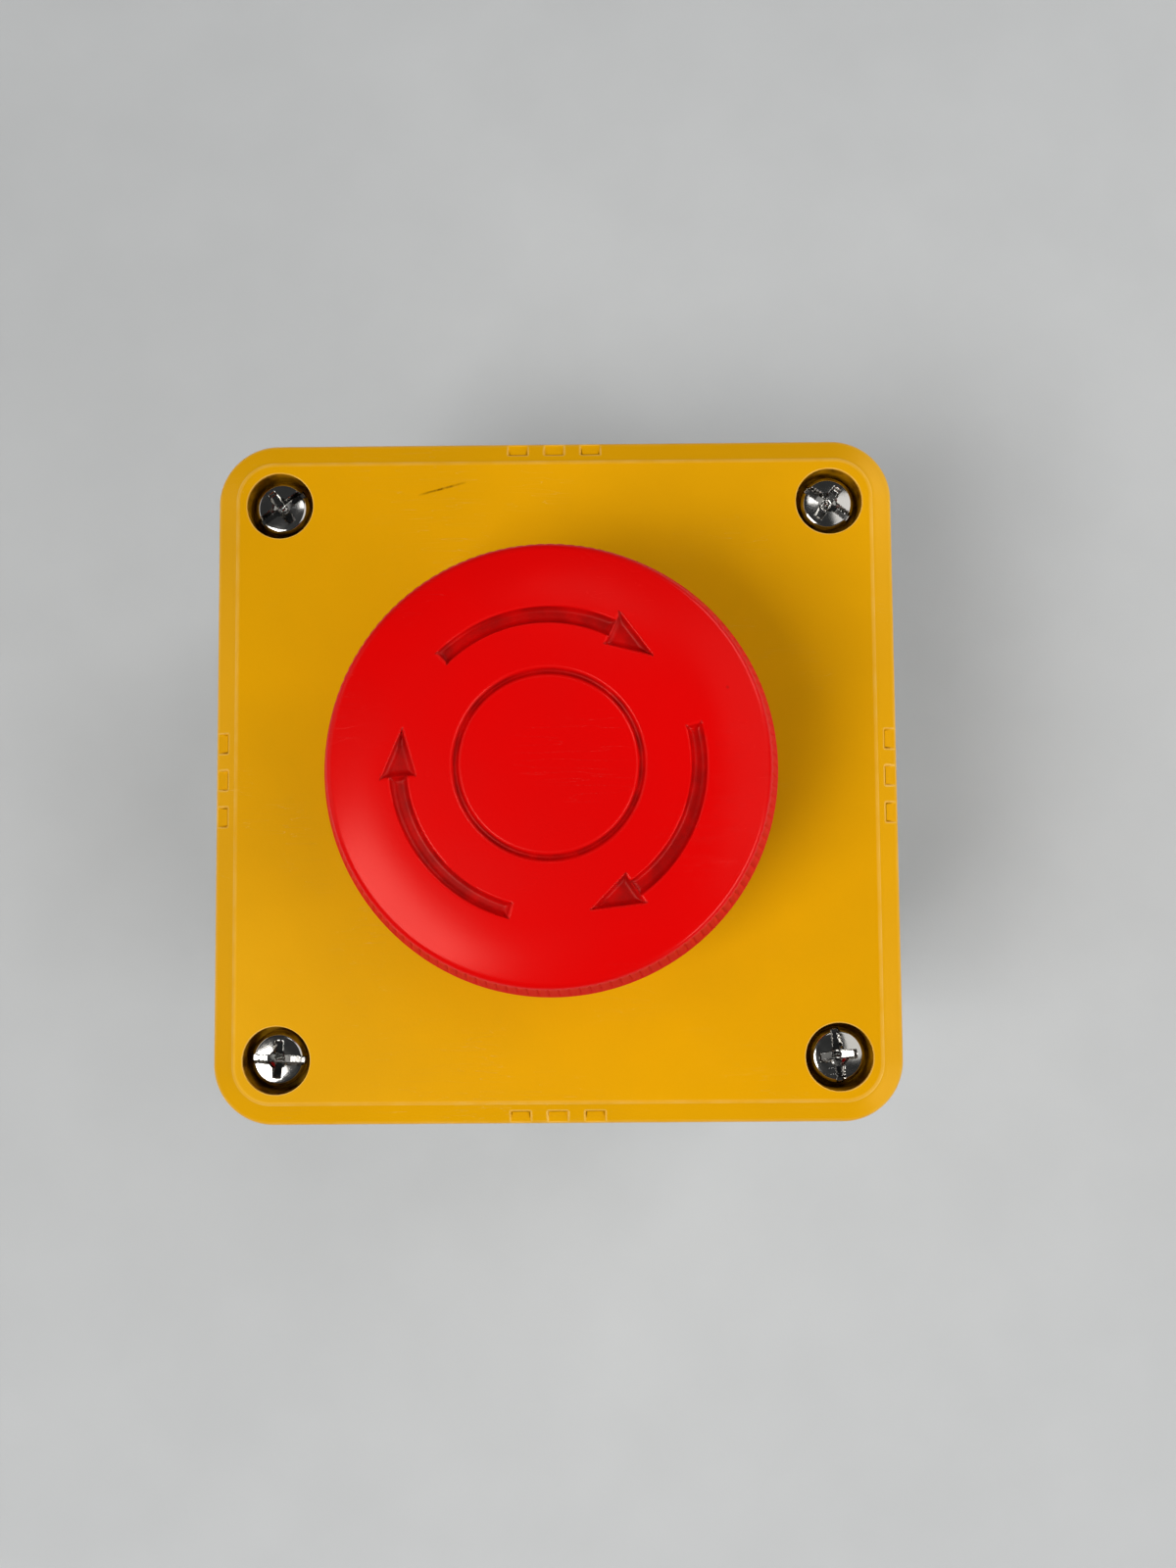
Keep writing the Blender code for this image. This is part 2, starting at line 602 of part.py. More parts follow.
def make_lid_screws(material):
    """Each screw has a cross recess with one arm carried right across the head as a slot. The screws stand
    turned as they came to rest."""
    turns = (-35.0, 35.0, -3.0, 96.0)
    places = ((1, 1), (-1, 1), (-1, -1), (1, -1))
    for number, (turn, (sx, sy)) in enumerate(zip(turns, places), 1):
        screw = new_object(f"lid_screw_{number}", screw_shape(), material)
        arms = {
            "long": drive_cutter(DRIVE_SPAN / 2, DRIVE_WIDTH / 2, DRIVE_DEPTH),
            "cross": drive_cutter(DRIVE_WIDTH / 2, DRIVE_SPAN / 2, DRIVE_DEPTH),
            "slot": drive_cutter(HEAD_RADIUS + SEAT, DRIVE_WIDTH / 2 - DRIVE_TAPER, SLOT_DEPTH),
        }
        for name, arm in arms.items():
            boolean(screw, arm, f"cut_drive_{name}_{number}")
        for piece in [screw] + [modifier.object for modifier in screw.modifiers]:
            piece.location = (sx * SCREW_PLACE, sy * SCREW_PLACE, HEAD_SEAT)
            piece.rotation_euler = (0, 0, math.radians(turn))
        smooth(screw)


# ---------------------------------------------------------------- operating head
def make_head_body(material):
    """Flanged barrel that stands through the lid, with a pocket above its web for the cap's hub."""
    stem_hole = STEM_RADIUS + RUN
    pocket = HUB_RADIUS + 2 * RUN
    profile = [
        (BARREL_RADIUS, BARREL_END),
        (BARREL_RADIUS, FLANGE_BOTTOM),
        (FLANGE_RADIUS, FLANGE_BOTTOM),
        (FLANGE_RADIUS, FLANGE_TOP - FLANGE_CHAMFER),
        (FLANGE_RADIUS - FLANGE_CHAMFER, FLANGE_TOP),
        (pocket, FLANGE_TOP),
        (pocket, WEB_TOP),
        (stem_hole, WEB_TOP),
        (stem_hole, WEB_BOTTOM),
        (BARREL_BORE, WEB_BOTTOM),
        (BARREL_BORE, BARREL_END),
    ]
    return smooth(new_object("head_body", turned(profile), material))


def make_head_rings(materials):
    """Seals, spring seat, latch holder and latch clip, which stay with the head's body."""
    seal_low = FACE + SEAT
    head_seal = washer(HOLE_RADIUS, FLANGE_RADIUS - SEAT, seal_low, seal_low + HEAD_SEAL_THICKNESS)
    smooth(new_object("head_seal", head_seal, materials["rubber"]))

    wiper_low = WEB_TOP + SEAT
    wiper_inner = STEM_RADIUS + SEAT
    wiper = washer(wiper_inner, wiper_inner + STEM_SEAL_WIDTH, wiper_low, STEM_SEAL_TOP)
    smooth(new_object("stem_seal", wiper, materials["rubber"]))

    seat_top = FACE - SPRING_SEAT_TOP
    seat = washer(STEM_RADIUS + RUN, BARREL_BORE - SEAT, seat_top - SPRING_SEAT_THICKNESS, seat_top)
    smooth(new_object("spring_seat", seat, materials["black"]))

    pocket = STEM_RADIUS + SEAT + LATCH_WIRE + RUN
    profile = [
        (STEM_RADIUS + RUN, BARREL_END),
        (BARREL_BORE - SEAT, BARREL_END),
        (BARREL_BORE - SEAT, HOLDER_TOP),
        (pocket, HOLDER_TOP),
        (pocket, BARREL_END + HOLDER_FLOOR),
        (STEM_RADIUS + RUN, BARREL_END + HOLDER_FLOOR),
    ]
    smooth(new_object("latch_holder", turned(profile), materials["black"]))
    make_latch_clip(materials["spring"])


def make_latch_clip(material):
    """C-shaped wire clip that snaps into the stem's groove when the button is pushed home."""
    radius = STEM_RADIUS + SEAT + LATCH_WIRE / 2
    steps = 24
    start = math.radians(LATCH_MOUTH / 2)
    sweep = 2 * math.pi - 2 * start
    data = bpy.data.curves.new("latch_clip", "CURVE")
    data.dimensions = "3D"
    data.bevel_depth = LATCH_WIRE / 2
    data.bevel_resolution = 2
    data.use_fill_caps = True
    spline = data.splines.new("POLY")
    spline.points.add(steps)
    for i, point in enumerate(spline.points):
        angle = start + sweep * i / steps
        point.co = (radius * math.cos(angle), radius * math.sin(angle), LATCH_LEVEL, 1.0)
    data.materials.append(material)
    clip = bpy.data.objects.new("latch_clip", data)
    bpy.context.scene.collection.objects.link(clip)


def make_nut(material):
    """Ring nut under the lid, with half-round notches for a spanner."""
    nut = new_object(
        "fixing_nut", washer(BARREL_RADIUS + SEAT, NUT_RADIUS, NUT_BOTTOM, NUT_TOP, 48), material
    )
    cutters = []
    for i in range(NUT_NOTCHES):
        angle = 2 * math.pi * (i + 0.25) / NUT_NOTCHES
        place = (NUT_RADIUS * math.cos(angle), NUT_RADIUS * math.sin(angle), 0)
        cutters.append(moved(rod(NUT_NOTCH_RADIUS, NUT_BOTTOM - SEAT, NUT_TOP + SEAT, 8), place))
    return boolean(nut, together(cutters), "cut_nut_notches")


def make_carrier(materials):
    """Plate clamped on the barrel by a grub screw. The contact blocks hook on its ends."""
    outline = rounded_rectangle(CARRIER_HALF_WIDTH, CARRIER_HALF_LENGTH, 2 * MM, 3)
    carrier = new_object("contact_carrier", prism(outline, CARRIER_BOTTOM, CARRIER_TOP), materials["black"])
    bore = rod(BARREL_RADIUS + SEAT, CARRIER_BOTTOM - SEAT, CARRIER_TOP + SEAT, ROUND_STEPS)
    boolean(carrier, bore, "cut_carrier_bore")
    guide = EAR_OUTER + RUN
    half = EAR_WIDTH / 2 + RUN
    slots = block(-guide, guide, -half, half, CARRIER_BOTTOM - SEAT, CARRIER_TOP + SEAT)
    boolean(carrier, slots, "cut_ear_slots")

    middle = (CARRIER_TOP + CARRIER_BOTTOM) / 2
    hole = turned_to(rod(GRUB_RADIUS + SEAT, 0, 2 * CARRIER_HALF_LENGTH), "X", -math.pi / 2)
    boolean(carrier, moved(hole, (0, 0, middle)), "cut_grub_hole")
    end = CARRIER_HALF_LENGTH - SEAT
    grub = turned_to(rod(GRUB_RADIUS, BARREL_RADIUS + SEAT, end), "X", -math.pi / 2)
    screw = new_object("carrier_screw", moved(grub, (0, 0, middle)), materials["steel"])
    reach, half = GRUB_RADIUS + SEAT, GRUB_SLOT_WIDTH / 2
    slot = block(-reach, reach, end - GRUB_SLOT_DEPTH, end + SEAT, middle - half, middle + half)
    boolean(screw, slot, "cut_grub_slot")


def make_stem(material, parent):
    """Shaft from the cap down to the pusher, with a stop shoulder, a latch groove and a circlip groove."""
    groove = LATCH_LEVEL + TRAVEL
    half = LATCH_WIRE / 2 + 0.2 * MM
    groove_radius = STEM_RADIUS - LATCH_GROOVE_DEPTH
    clip_radius = STEM_RADIUS - CIRCLIP_BITE
    clip_low = CIRCLIP_TOP - CIRCLIP_THICKNESS - 0.1 * MM
    profile = [
        (0, PUSHER_BOTTOM + SEAT / 3),
        (STEM_RADIUS - 0.3 * MM, PUSHER_BOTTOM + SEAT / 3),
        (STEM_RADIUS - 0.3 * MM, clip_low),
        (clip_radius, clip_low),
        (clip_radius, CIRCLIP_TOP + 0.1 * MM),
        (STEM_RADIUS, CIRCLIP_TOP + 0.1 * MM),
        (STEM_RADIUS, groove - half),
        (groove_radius, groove - half),
        (groove_radius, groove + half),
        (STEM_RADIUS, groove + half),
        (STEM_RADIUS, SHOULDER_BOTTOM),
        (BARREL_BORE - RUN, SHOULDER_BOTTOM),
        (BARREL_BORE - RUN, SHOULDER_TOP),
        (STEM_RADIUS, SHOULDER_TOP),
        (STEM_RADIUS, CAP_UNDER - SEAT),
        (0, CAP_UNDER - SEAT),
    ]
    return smooth(new_object("stem", turned(profile, 32, ring=False), material, parent))


def make_circlip(material, parent):
    inner = STEM_RADIUS - CIRCLIP_BITE + 0.1 * MM
    clip = washer(inner, CIRCLIP_RADIUS, CIRCLIP_TOP - CIRCLIP_THICKNESS, CIRCLIP_TOP, 28)
    made = new_object("pusher_circlip", clip, material, parent)
    half = CIRCLIP_MOUTH / 2
    low = CIRCLIP_TOP - CIRCLIP_THICKNESS
    mouth = block(0, CIRCLIP_RADIUS + SEAT, -half, half, low - SEAT, CIRCLIP_TOP + SEAT)
    return boolean(made, mouth, "cut_circlip_mouth")


def make_pusher(material, parent):
    """Disc on the stem's end that presses both plungers. Its two ears slide in the carrier and stop it
    turning with the stem."""
    profile = [
        (STEM_RADIUS + RUN, PUSHER_BOTTOM + PUSHER_RECESS_DEPTH),
        (PUSHER_RECESS_RADIUS, PUSHER_BOTTOM + PUSHER_RECESS_DEPTH),
        (PUSHER_RECESS_RADIUS, PUSHER_BOTTOM),
        (PUSHER_RADIUS, PUSHER_BOTTOM),
        (PUSHER_RADIUS, PUSHER_TOP),
        (STEM_RADIUS + RUN, PUSHER_TOP),
    ]
    pusher = new_object("pusher", turned(profile), material, parent)
    half = EAR_WIDTH / 2
    arm_inner = (PUSHER_RECESS_RADIUS + PUSHER_RADIUS) / 2
    arm_top = PUSHER_BOTTOM + EAR_ARM
    post_top = NUT_BOTTOM - 2 * SEAT
    arms = [
        block(side * arm_inner, side * EAR_OUTER, -half, half, PUSHER_BOTTOM, arm_top) for side in (-1, 1)
    ]
    boolean(pusher, together(arms), "join_ear_arms", "UNION")
    posts = [
        block(side * EAR_INNER, side * EAR_OUTER, -half, half, arm_top - SEAT, post_top) for side in (-1, 1)
    ]
    return boolean(pusher, together(posts), "join_ear_posts", "UNION")


# ---------------------------------------------------------------- mushroom cap
def make_cap(material, parent):
    """Mushroom cap with a tapered gripping side, a slightly crowned top, a ring groove and three arrows."""
    bore = STEM_RADIUS + SEAT
    crown_edge = CAP_TOP - CAP_CROWN
    groove_in = RING_GROOVE_RADIUS - RING_GROOVE_WIDTH / 2
    groove_out = RING_GROOVE_RADIUS + RING_GROOVE_WIDTH / 2
    wall = 0.15 * MM
    top_round = [
        (x, z)
        for x, z in arc(
            (CAP_TOP_RADIUS - CAP_EDGE_ROUND, crown_edge - CAP_EDGE_ROUND), CAP_EDGE_ROUND, 10, 80, 3
        )
    ]
    profile = [
        (0, CAP_UNDER),
        (bore, CAP_UNDER),
        (bore, HUB_BOTTOM),
        (HUB_RADIUS, HUB_BOTTOM),
        (HUB_RADIUS, CAP_UNDER),
        (CAP_TOP_RADIUS - CAP_SKIRT, CAP_UNDER),
        (CAP_RADIUS - CAP_SKIRT, CAP_RIM),
        (CAP_RADIUS, CAP_RIM),
        (CAP_RADIUS, CAP_RIM + 0.5 * MM),
        *top_round,
        (ARROW_RADIUS, crown_height(ARROW_RADIUS)),
        (groove_out, crown_height(groove_out)),
        (groove_out - wall, CAP_TOP - RING_GROOVE_DEPTH),
        (groove_in + wall, CAP_TOP - RING_GROOVE_DEPTH),
        (groove_in, crown_height(groove_in)),
        (0, CAP_TOP),
    ]
    cap = new_object("mushroom_cap", turned(profile, CAP_STEPS, ring=False), material, parent)
    boolean(cap, together([arrow_cutter(i) for i in range(ARROW_COUNT)]), "cut_arrows")
    return cap


def crown_height(radius):
    """Height of the cap's top: it falls with the square of the radius."""
    return CAP_TOP - CAP_CROWN * (radius / CAP_TOP_RADIUS) ** 2


def arrow_cutter(number):
    """A curved arrow that runs clockwise round the dial. Angles are counted clockwise from +Y."""
    steps = 8
    offset = number * 360 / ARROW_COUNT

    def at(angle, radius):
        a = math.radians(90 - angle - offset)
        return (radius * math.cos(a), radius * math.sin(a))

    angles = [-ARROW_TAIL + (ARROW_NECK + ARROW_TAIL) * i / steps for i in range(steps + 1)]
    shaft, head = ARROW_SHAFT_WIDTH / 2, ARROW_HEAD_WIDTH / 2
    outline = [at(a, ARROW_RADIUS + shaft) for a in angles]
    outline += [
        at(ARROW_NECK, ARROW_RADIUS + head),
        at(ARROW_TIP, ARROW_RADIUS),
        at(ARROW_NECK, ARROW_RADIUS - head),
    ]
    outline += [at(a, ARROW_RADIUS - shaft) for a in reversed(angles)]
    outline.reverse()
    floor = crown_height(ARROW_RADIUS) - ARROW_DEPTH
    return prism(outline, floor, CAP_TOP + 1 * MM)


# ---------------------------------------------------------------- contact blocks
def across(side, depth):
    """x of a place at this depth into a block, counted outward from its inner face. side is -1 or 1."""
    return side * (BLOCK_GAP + depth)


def side_prism(outline, side, inner, outer):
    """Extrudes a (y, z) outline along X, between two depths of a block."""
    loops = [[(across(side, depth), y, z) for y, z in outline] for depth in (inner, outer)]
    return loft(loops)


def make_block_shell(prefix, side, strip_top, materials):
    """The block's housing, open on its outer side, and the cover that closes it."""
    end = BLOCK_LENGTH / 2
    hook = end + HOOK_THICKNESS
    root = FACE - HOOK_ROOT
    half = [
        (end, BLOCK_FLOOR),
        (end, root - HOOK_THICKNESS),
        (hook, root),
        (hook, HOOK_TOP),
        (end - HOOK_LIP, HOOK_TOP),
        (end - HOOK_LIP, CARRIER_TOP + SEAT),
        (end, CARRIER_TOP + SEAT),
        (end, LEG_TOP),
        (end - LEG_LENGTH, LEG_TOP),
        (end - LEG_LENGTH, BLOCK_TOP),
    ]
    outline = half + [(-y, z) for y, z in reversed(half)]
    housing = new_object(f"{prefix}_housing", side_prism(outline, side, 0, BLOCK_DEPTH), materials["housing"])

    inner_end = end - BLOCK_WALL
    low, high = BLOCK_FLOOR + BLOCK_WALL, BLOCK_TOP - BLOCK_WALL
    room = [(-inner_end, low), (inner_end, low), (inner_end, high), (-inner_end, high)]
    boolean(housing, side_prism(room, side, BLOCK_WALL, BLOCK_DEPTH + SEAT), f"cut_{prefix}_room")

    middle = across(side, PLUNGER_MIDDLE - BLOCK_GAP)
    reach, thick = PLUNGER_WIDTH / 2 + SEAT, PLUNGER_THICKNESS / 2 + SEAT
    slot = block(middle - reach, middle + reach, -thick, thick, high - SEAT, BLOCK_TOP + SEAT)
    boolean(housing, slot, f"cut_{prefix}_slot")

    window = WIRE_WINDOW_WIDTH / 2
    strip_bottom = FACE - strip_top - STRIP_THICKNESS
    sill = strip_bottom - TERMINAL_OPEN - WIRE_WINDOW_SILL
    windows = [
        block(middle - window, middle + window, y - BLOCK_WALL, y + BLOCK_WALL, sill, strip_bottom)
        for y in (-end, end)
    ]
    boolean(housing, together(windows), f"cut_{prefix}_windows")
    access = [
        moved(rod(TERMINAL_HEAD_RADIUS + SEAT, BLOCK_FLOOR - SEAT, low + SEAT), (middle, y, 0))
        for y in (-TERMINAL_PLACE, TERMINAL_PLACE)
    ]
    boolean(housing, together(access), f"cut_{prefix}_access")

    plate = [(-end, BLOCK_FLOOR), (end, BLOCK_FLOOR), (end, BLOCK_TOP), (-end, BLOCK_TOP)]
    cover = side_prism(plate, side, BLOCK_DEPTH + SEAT, BLOCK_DEPTH + SEAT + COVER_THICKNESS)
    new_object(f"{prefix}_cover", cover, materials["housing"])


def make_terminals(prefix, side, strip_top, tips_up, materials):
    """Fixed contact strips with their tips, clamp plates and terminal screws, at both ends of a block."""
    x = across(side, PLUNGER_MIDDLE - BLOCK_GAP)
    top = FACE - strip_top
    bottom = top - STRIP_THICKNESS
    clamp_top = bottom - TERMINAL_OPEN
    head_top = clamp_top - CLAMP_THICKNESS - SEAT
    for end, sign in (("rear", -1), ("front", 1)):
        make_strip(f"{prefix}_contact_{end}", x, sign, (bottom, top), tips_up, materials["brass"])
        place = (x, sign * TERMINAL_PLACE, 0)
        make_clamp(f"{prefix}_clamp_{end}", place, clamp_top, materials["steel"])
        make_terminal_screw(f"{prefix}_screw_{end}", place, head_top, top, materials["steel"])


def make_strip(name, x, sign, span, tips_up, material):
    """A flat strip with a round contact tip near its inner end and a screw hole near its outer one."""
    bottom, top = span
    half = STRIP_WIDTH / 2
    low_y, high_y = sorted((sign * STRIP_INNER, sign * STRIP_OUTER))
    strip = new_object(name, block(x - half, x + half, low_y, high_y, bottom, top), material)
    tip_span = (top - SEAT, top + TIP_HEIGHT) if tips_up else (bottom - TIP_HEIGHT, bottom + SEAT)
    boolean(strip, moved(rod(TIP_RADIUS, *tip_span, 16), (x, sign * TIP_PLACE, 0)), f"join_{name}", "UNION")
    hole = rod(TERMINAL_SHANK + SEAT, bottom - SEAT, top + SEAT, 16)
    return boolean(strip, moved(hole, (x, sign * TERMINAL_PLACE, 0)), f"cut_{name}")


def make_clamp(name, place, top, material):
    half = CLAMP_SIZE / 2
    plate = block(-half, half, -half, half, top - CLAMP_THICKNESS, top)
    clamp = new_object(name, moved(plate, place), material)
    hole = rod(TERMINAL_SHANK + SEAT, top - CLAMP_THICKNESS - SEAT, top + SEAT, 16)
    return boolean(clamp, moved(hole, place), f"cut_{name}")


def make_terminal_screw(name, place, head_top, strip_top, material):
    """Screw with its slotted head towards the wall, so that it is reached when the lid is off."""
    head_low = head_top - TERMINAL_HEAD_HEIGHT
    tip = strip_top + TERMINAL_STICK_OUT
    profile = [
        (0, head_low),
        (TERMINAL_HEAD_RADIUS, head_low),
        (TERMINAL_HEAD_RADIUS, head_top),
        (TERMINAL_SHANK, head_top),
        (TERMINAL_SHANK, tip),
        (0, tip),
    ]
    screw = new_object(name, moved(turned(profile, 16, ring=False), place), material)
    reach, half = TERMINAL_HEAD_RADIUS + SEAT, TERMINAL_SLOT_WIDTH / 2
    slot = block(-reach, reach, -half, half, head_low - SEAT, head_low + TERMINAL_SLOT_DEPTH)
    return boolean(screw, moved(slot, place), f"cut_{name}")


def make_moving_contact(prefix, side, bridge_top, window, materials):
    """The plunger with its window, the bridge that lies in it and the spring under it."""
    middle = across(side, PLUNGER_MIDDLE - BLOCK_GAP)
    bottom = FACE - PLUNGER_BOTTOM
    half, thick = PLUNGER_WIDTH / 2, PLUNGER_THICKNESS / 2
    slide = axis_empty(f"{prefix}_slide", (middle, 0, PLUNGER_TOP))
    shape = block(middle - half, middle + half, -thick, thick, bottom, PLUNGER_TOP)
    plunger = new_object(f"{prefix}_plunger", shape, materials[f"plunger_{prefix}"], slide)
    post = half - PLUNGER_POST
    opening = block(middle - post, middle + post, -2 * thick, 2 * thick, window[0], window[1])
    boolean(plunger, opening, f"cut_{prefix}_window")

    carriage = axis_empty(f"{prefix}_bridge_slide", (middle, 0, bridge_top))
    width, length = BRIDGE_WIDTH / 2, BRIDGE_LENGTH / 2
    bar = block(middle - width, middle + width, -length, length, bridge_top - BRIDGE_THICKNESS, bridge_top)
    new_object(f"{prefix}_bridge", bar, materials["silver"], carriage)

    helix_curve(
        f"{prefix}_spring",
        (middle, 0),
        BLOCK_FLOOR + BLOCK_WALL + SEAT,
        bottom - SEAT,
        BLOCK_COIL_RADIUS,
        BLOCK_WIRE,
        BLOCK_COIL_TURNS,
        10,
        materials["spring"],
    )


def make_contact_blocks(materials):
    """Normally closed block at -X and normally open block at +X."""
    make_block_shell("nc", -1, NC_STRIP_TOP, materials)
    make_block_shell("no", 1, NO_STRIP_TOP, materials)
    make_terminals("nc", -1, NC_STRIP_TOP, False, materials)
    make_terminals("no", 1, NO_STRIP_TOP, True, materials)

    nc_bridge = FACE - NC_STRIP_TOP - STRIP_THICKNESS - TIP_HEIGHT - SEAT
    nc_window = (nc_bridge - BRIDGE_THICKNESS - SEAT, nc_bridge + (TRAVEL - NC_BRIDGE_TRAVEL) + SEAT)
    make_moving_contact("nc", -1, nc_bridge, nc_window, materials)

    no_closed = FACE - NO_STRIP_TOP + TIP_HEIGHT + SEAT + BRIDGE_THICKNESS
    no_bridge = no_closed + NO_BRIDGE_TRAVEL
    no_window = (no_bridge - BRIDGE_THICKNESS - SEAT, no_bridge + (TRAVEL - NO_BRIDGE_TRAVEL) + SEAT)
    make_moving_contact("no", 1, no_bridge, no_window, materials)


# ---------------------------------------------------------------- assembly
def make_button(materials):
    """Everything that the hand moves: the cap and stem turn on the pusher, and all three slide together."""
    press = axis_empty("press_axis", (0, 0, PUSHER_TOP))
    make_pusher(materials["black"], press)
    twist = axis_empty("twist_axis", (0, 0, CAP_RIM))
    twist.parent = press
    twist.matrix_parent_inverse = press.matrix_world.inverted()
    bpy.context.view_layer.update()
    make_stem(materials["white"], twist)
    make_circlip(materials["spring"], twist)
    make_cap(materials["red"], twist)
    helix_curve(
        "return_spring",
        (0, 0),
        FACE - SPRING_SEAT_TOP + SEAT,
        SHOULDER_BOTTOM - SEAT,
        (STEM_RADIUS + BARREL_BORE) / 2,
        RETURN_WIRE,
        RETURN_TURNS,
        18,
        materials["spring"],
    )


def main():
    clear_scene()
    materials = make_materials()
    make_base(materials["grey"])
    make_lid(materials["yellow"])
    make_gasket(materials["rubber"])
    make_lid_screws(materials["steel"])
    make_head_body(materials["black"])
    make_head_rings(materials)
    make_nut(materials["black"])
    make_carrier(materials)
    make_button(materials)
    make_contact_blocks(materials)


main()
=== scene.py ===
"""Looks of the emergency-stop station: detailed skins, procedural materials, light and camera round the
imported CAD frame.

Shapes are worked out in millimetres, +Z out of the lid, and turned into metres when a mesh is made.
A "grid" is an array of points (rows, columns, 3): neighbouring points make four-sided faces.
A "loop" is a closed line of points whose last point repeats the first.
"""

import json
import math

import bmesh
import bpy
import numpy as np
from mathutils import Matrix, Vector


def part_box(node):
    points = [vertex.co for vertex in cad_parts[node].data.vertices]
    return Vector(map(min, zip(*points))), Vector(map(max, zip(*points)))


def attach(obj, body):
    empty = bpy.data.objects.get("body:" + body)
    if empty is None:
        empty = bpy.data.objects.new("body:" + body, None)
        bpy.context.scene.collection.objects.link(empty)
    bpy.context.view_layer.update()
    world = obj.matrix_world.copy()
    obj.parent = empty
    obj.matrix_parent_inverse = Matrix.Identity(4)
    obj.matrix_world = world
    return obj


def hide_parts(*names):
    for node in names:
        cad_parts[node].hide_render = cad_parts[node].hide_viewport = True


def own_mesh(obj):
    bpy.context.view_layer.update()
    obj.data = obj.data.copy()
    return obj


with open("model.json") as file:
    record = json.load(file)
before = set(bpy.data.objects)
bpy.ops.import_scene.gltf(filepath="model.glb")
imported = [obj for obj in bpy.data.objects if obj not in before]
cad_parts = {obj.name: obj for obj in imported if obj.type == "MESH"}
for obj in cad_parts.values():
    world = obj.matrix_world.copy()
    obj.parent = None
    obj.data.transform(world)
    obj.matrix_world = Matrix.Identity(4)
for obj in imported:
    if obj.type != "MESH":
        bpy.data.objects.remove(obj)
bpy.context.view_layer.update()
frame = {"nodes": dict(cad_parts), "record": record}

MM = 0.001

# ---------------------------------------------------------------- sizes that the CAD holds, in millimetres
CORNER_RADIUS = 6.0
LID_WALL = 3.6
LID_PLATE = 2.6
SEAT = 0.3
BEVEL_WIDTH = 2.2
BEVEL_DROP = 1.0
PILLAR_RADIUS = 4.4
RECESS_RADIUS = 3.3
SCREW_HOLE = 1.8
HEAD_HOLE = 11.25
TONGUE_OUTER, TONGUE_INNER, TONGUE_HEIGHT = 1.4, 2.2, 1.1
GROOVE_OUTER, GROOVE_INNER, GROOVE_TOP = 1.0, 2.6, 40.55
BASE_INSET, BASE_CHAMFER, BASE_FLOOR = 0.4, 1.0, 2.6
MOUNT_HOLE, MOUNT_X, MOUNT_Y = 2.3, 19.0, 27.0
PILOT_SPARE = 1.5  # from the screw's tip down to the floor of its hole
KNOCKOUT_OUTER, KNOCKOUT_INNER, KNOCKOUT_DEPTH = 10.2, 9.4, 2.2
KNOCKOUT_CELL, CELL_ROWS = 12.2, 21  # half height and rows of the wall's opening for a knock-out
KNOCKOUT_SLOT = (3.0, 0.4, 1.1)  # half length, half width, depth
SLOT_RING, SLOT_ROUND = 5.0, 0.1  # a ring round the slot that keeps the disc flat; the slot's rounded edge
NOTCH_PITCH, NOTCH_HALF, NOTCH_REACH, NOTCH_SOFT = 3.66, 0.95, 1.35, 0.14

CAP_HEIGHT, CAP_TOP_RADIUS, CAP_ROUND, CAP_CROWN, CAP_PLATE = 6.3, 18.9, 0.9, 0.5, 2.8
CAP_SHOULDER, CAP_SHOULDER_DROP = 13.4, 0.34
CAP_SKIRT, HUB_RADIUS, HUB_BORE = 1.8, 9.45, 5.3
RING_RADIUS, RING_HALF, RING_DEPTH = 7.78, 0.46, 0.36
ARROW_RADIUS, ARROW_TAIL, ARROW_NECK, ARROW_TIP = 12.58, -44.7, 25.6, 43.7
ARROW_DEPTH, ARROW_HEAD_HALF = 0.52, 1.42
SHAFT_HALF, SHAFT_WIDENING = 0.62, 0.10
TEETH, TOOTH_SAMPLES, TOOTH_DEPTH = 135, 5, 0.17

# ---------------------------------------------------------------- numpy tools
WELD = 0.001  # points closer than this become one
WELD_SHIFT = 0.137  # keeps round measures off the borders between the cells
MARK_LIMIT = 6.0  # strongest bend or dirt that a point keeps


def span(node):
    """Lowest and highest corner of a CAD node, in millimetres."""
    low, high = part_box(node)
    return np.array(low) / MM, np.array(high) / MM


def smooth_step(value):
    """0 below 0, 1 above 1, and 3t^2 - 2t^3 between them."""
    t = np.clip(value, 0.0, 1.0)
    return t * t * (3.0 - 2.0 * t)


def weld(grids):
    """Joins grids into one list of points and faces. Points that round to the same place become one, and
    a face that loses one corner by it becomes a triangle."""
    points, quads, start = [], [], 0
    for grid in grids:
        rows, columns = grid.shape[:2]
        index = np.arange(rows * columns).reshape(rows, columns) + start
        corners = (index[:-1, :-1], index[:-1, 1:], index[1:, 1:], index[1:, :-1])
        quads.append(np.stack(corners, -1).reshape(-1, 4))
        points.append(grid.reshape(-1, 3))
        start += rows * columns
    points, quads = np.concatenate(points), np.concatenate(quads)
    cells = np.round(points / WELD + WELD_SHIFT).astype(np.int64)
    _, first, index = np.unique(cells, axis=0, return_index=True, return_inverse=True)
    quads = index.reshape(-1)[quads]
    repeated = quads == np.roll(quads, -1, axis=1)
    across = (quads[:, 0] == quads[:, 2]) | (quads[:, 1] == quads[:, 3])
    lost = repeated.sum(axis=1)
    triangles = quads[(lost == 1) & ~across]
    triangles = triangles[~repeated[(lost == 1) & ~across]].reshape(-1, 3)
    return points[first], quads[(lost == 0) & ~across].tolist() + triangles.tolist()


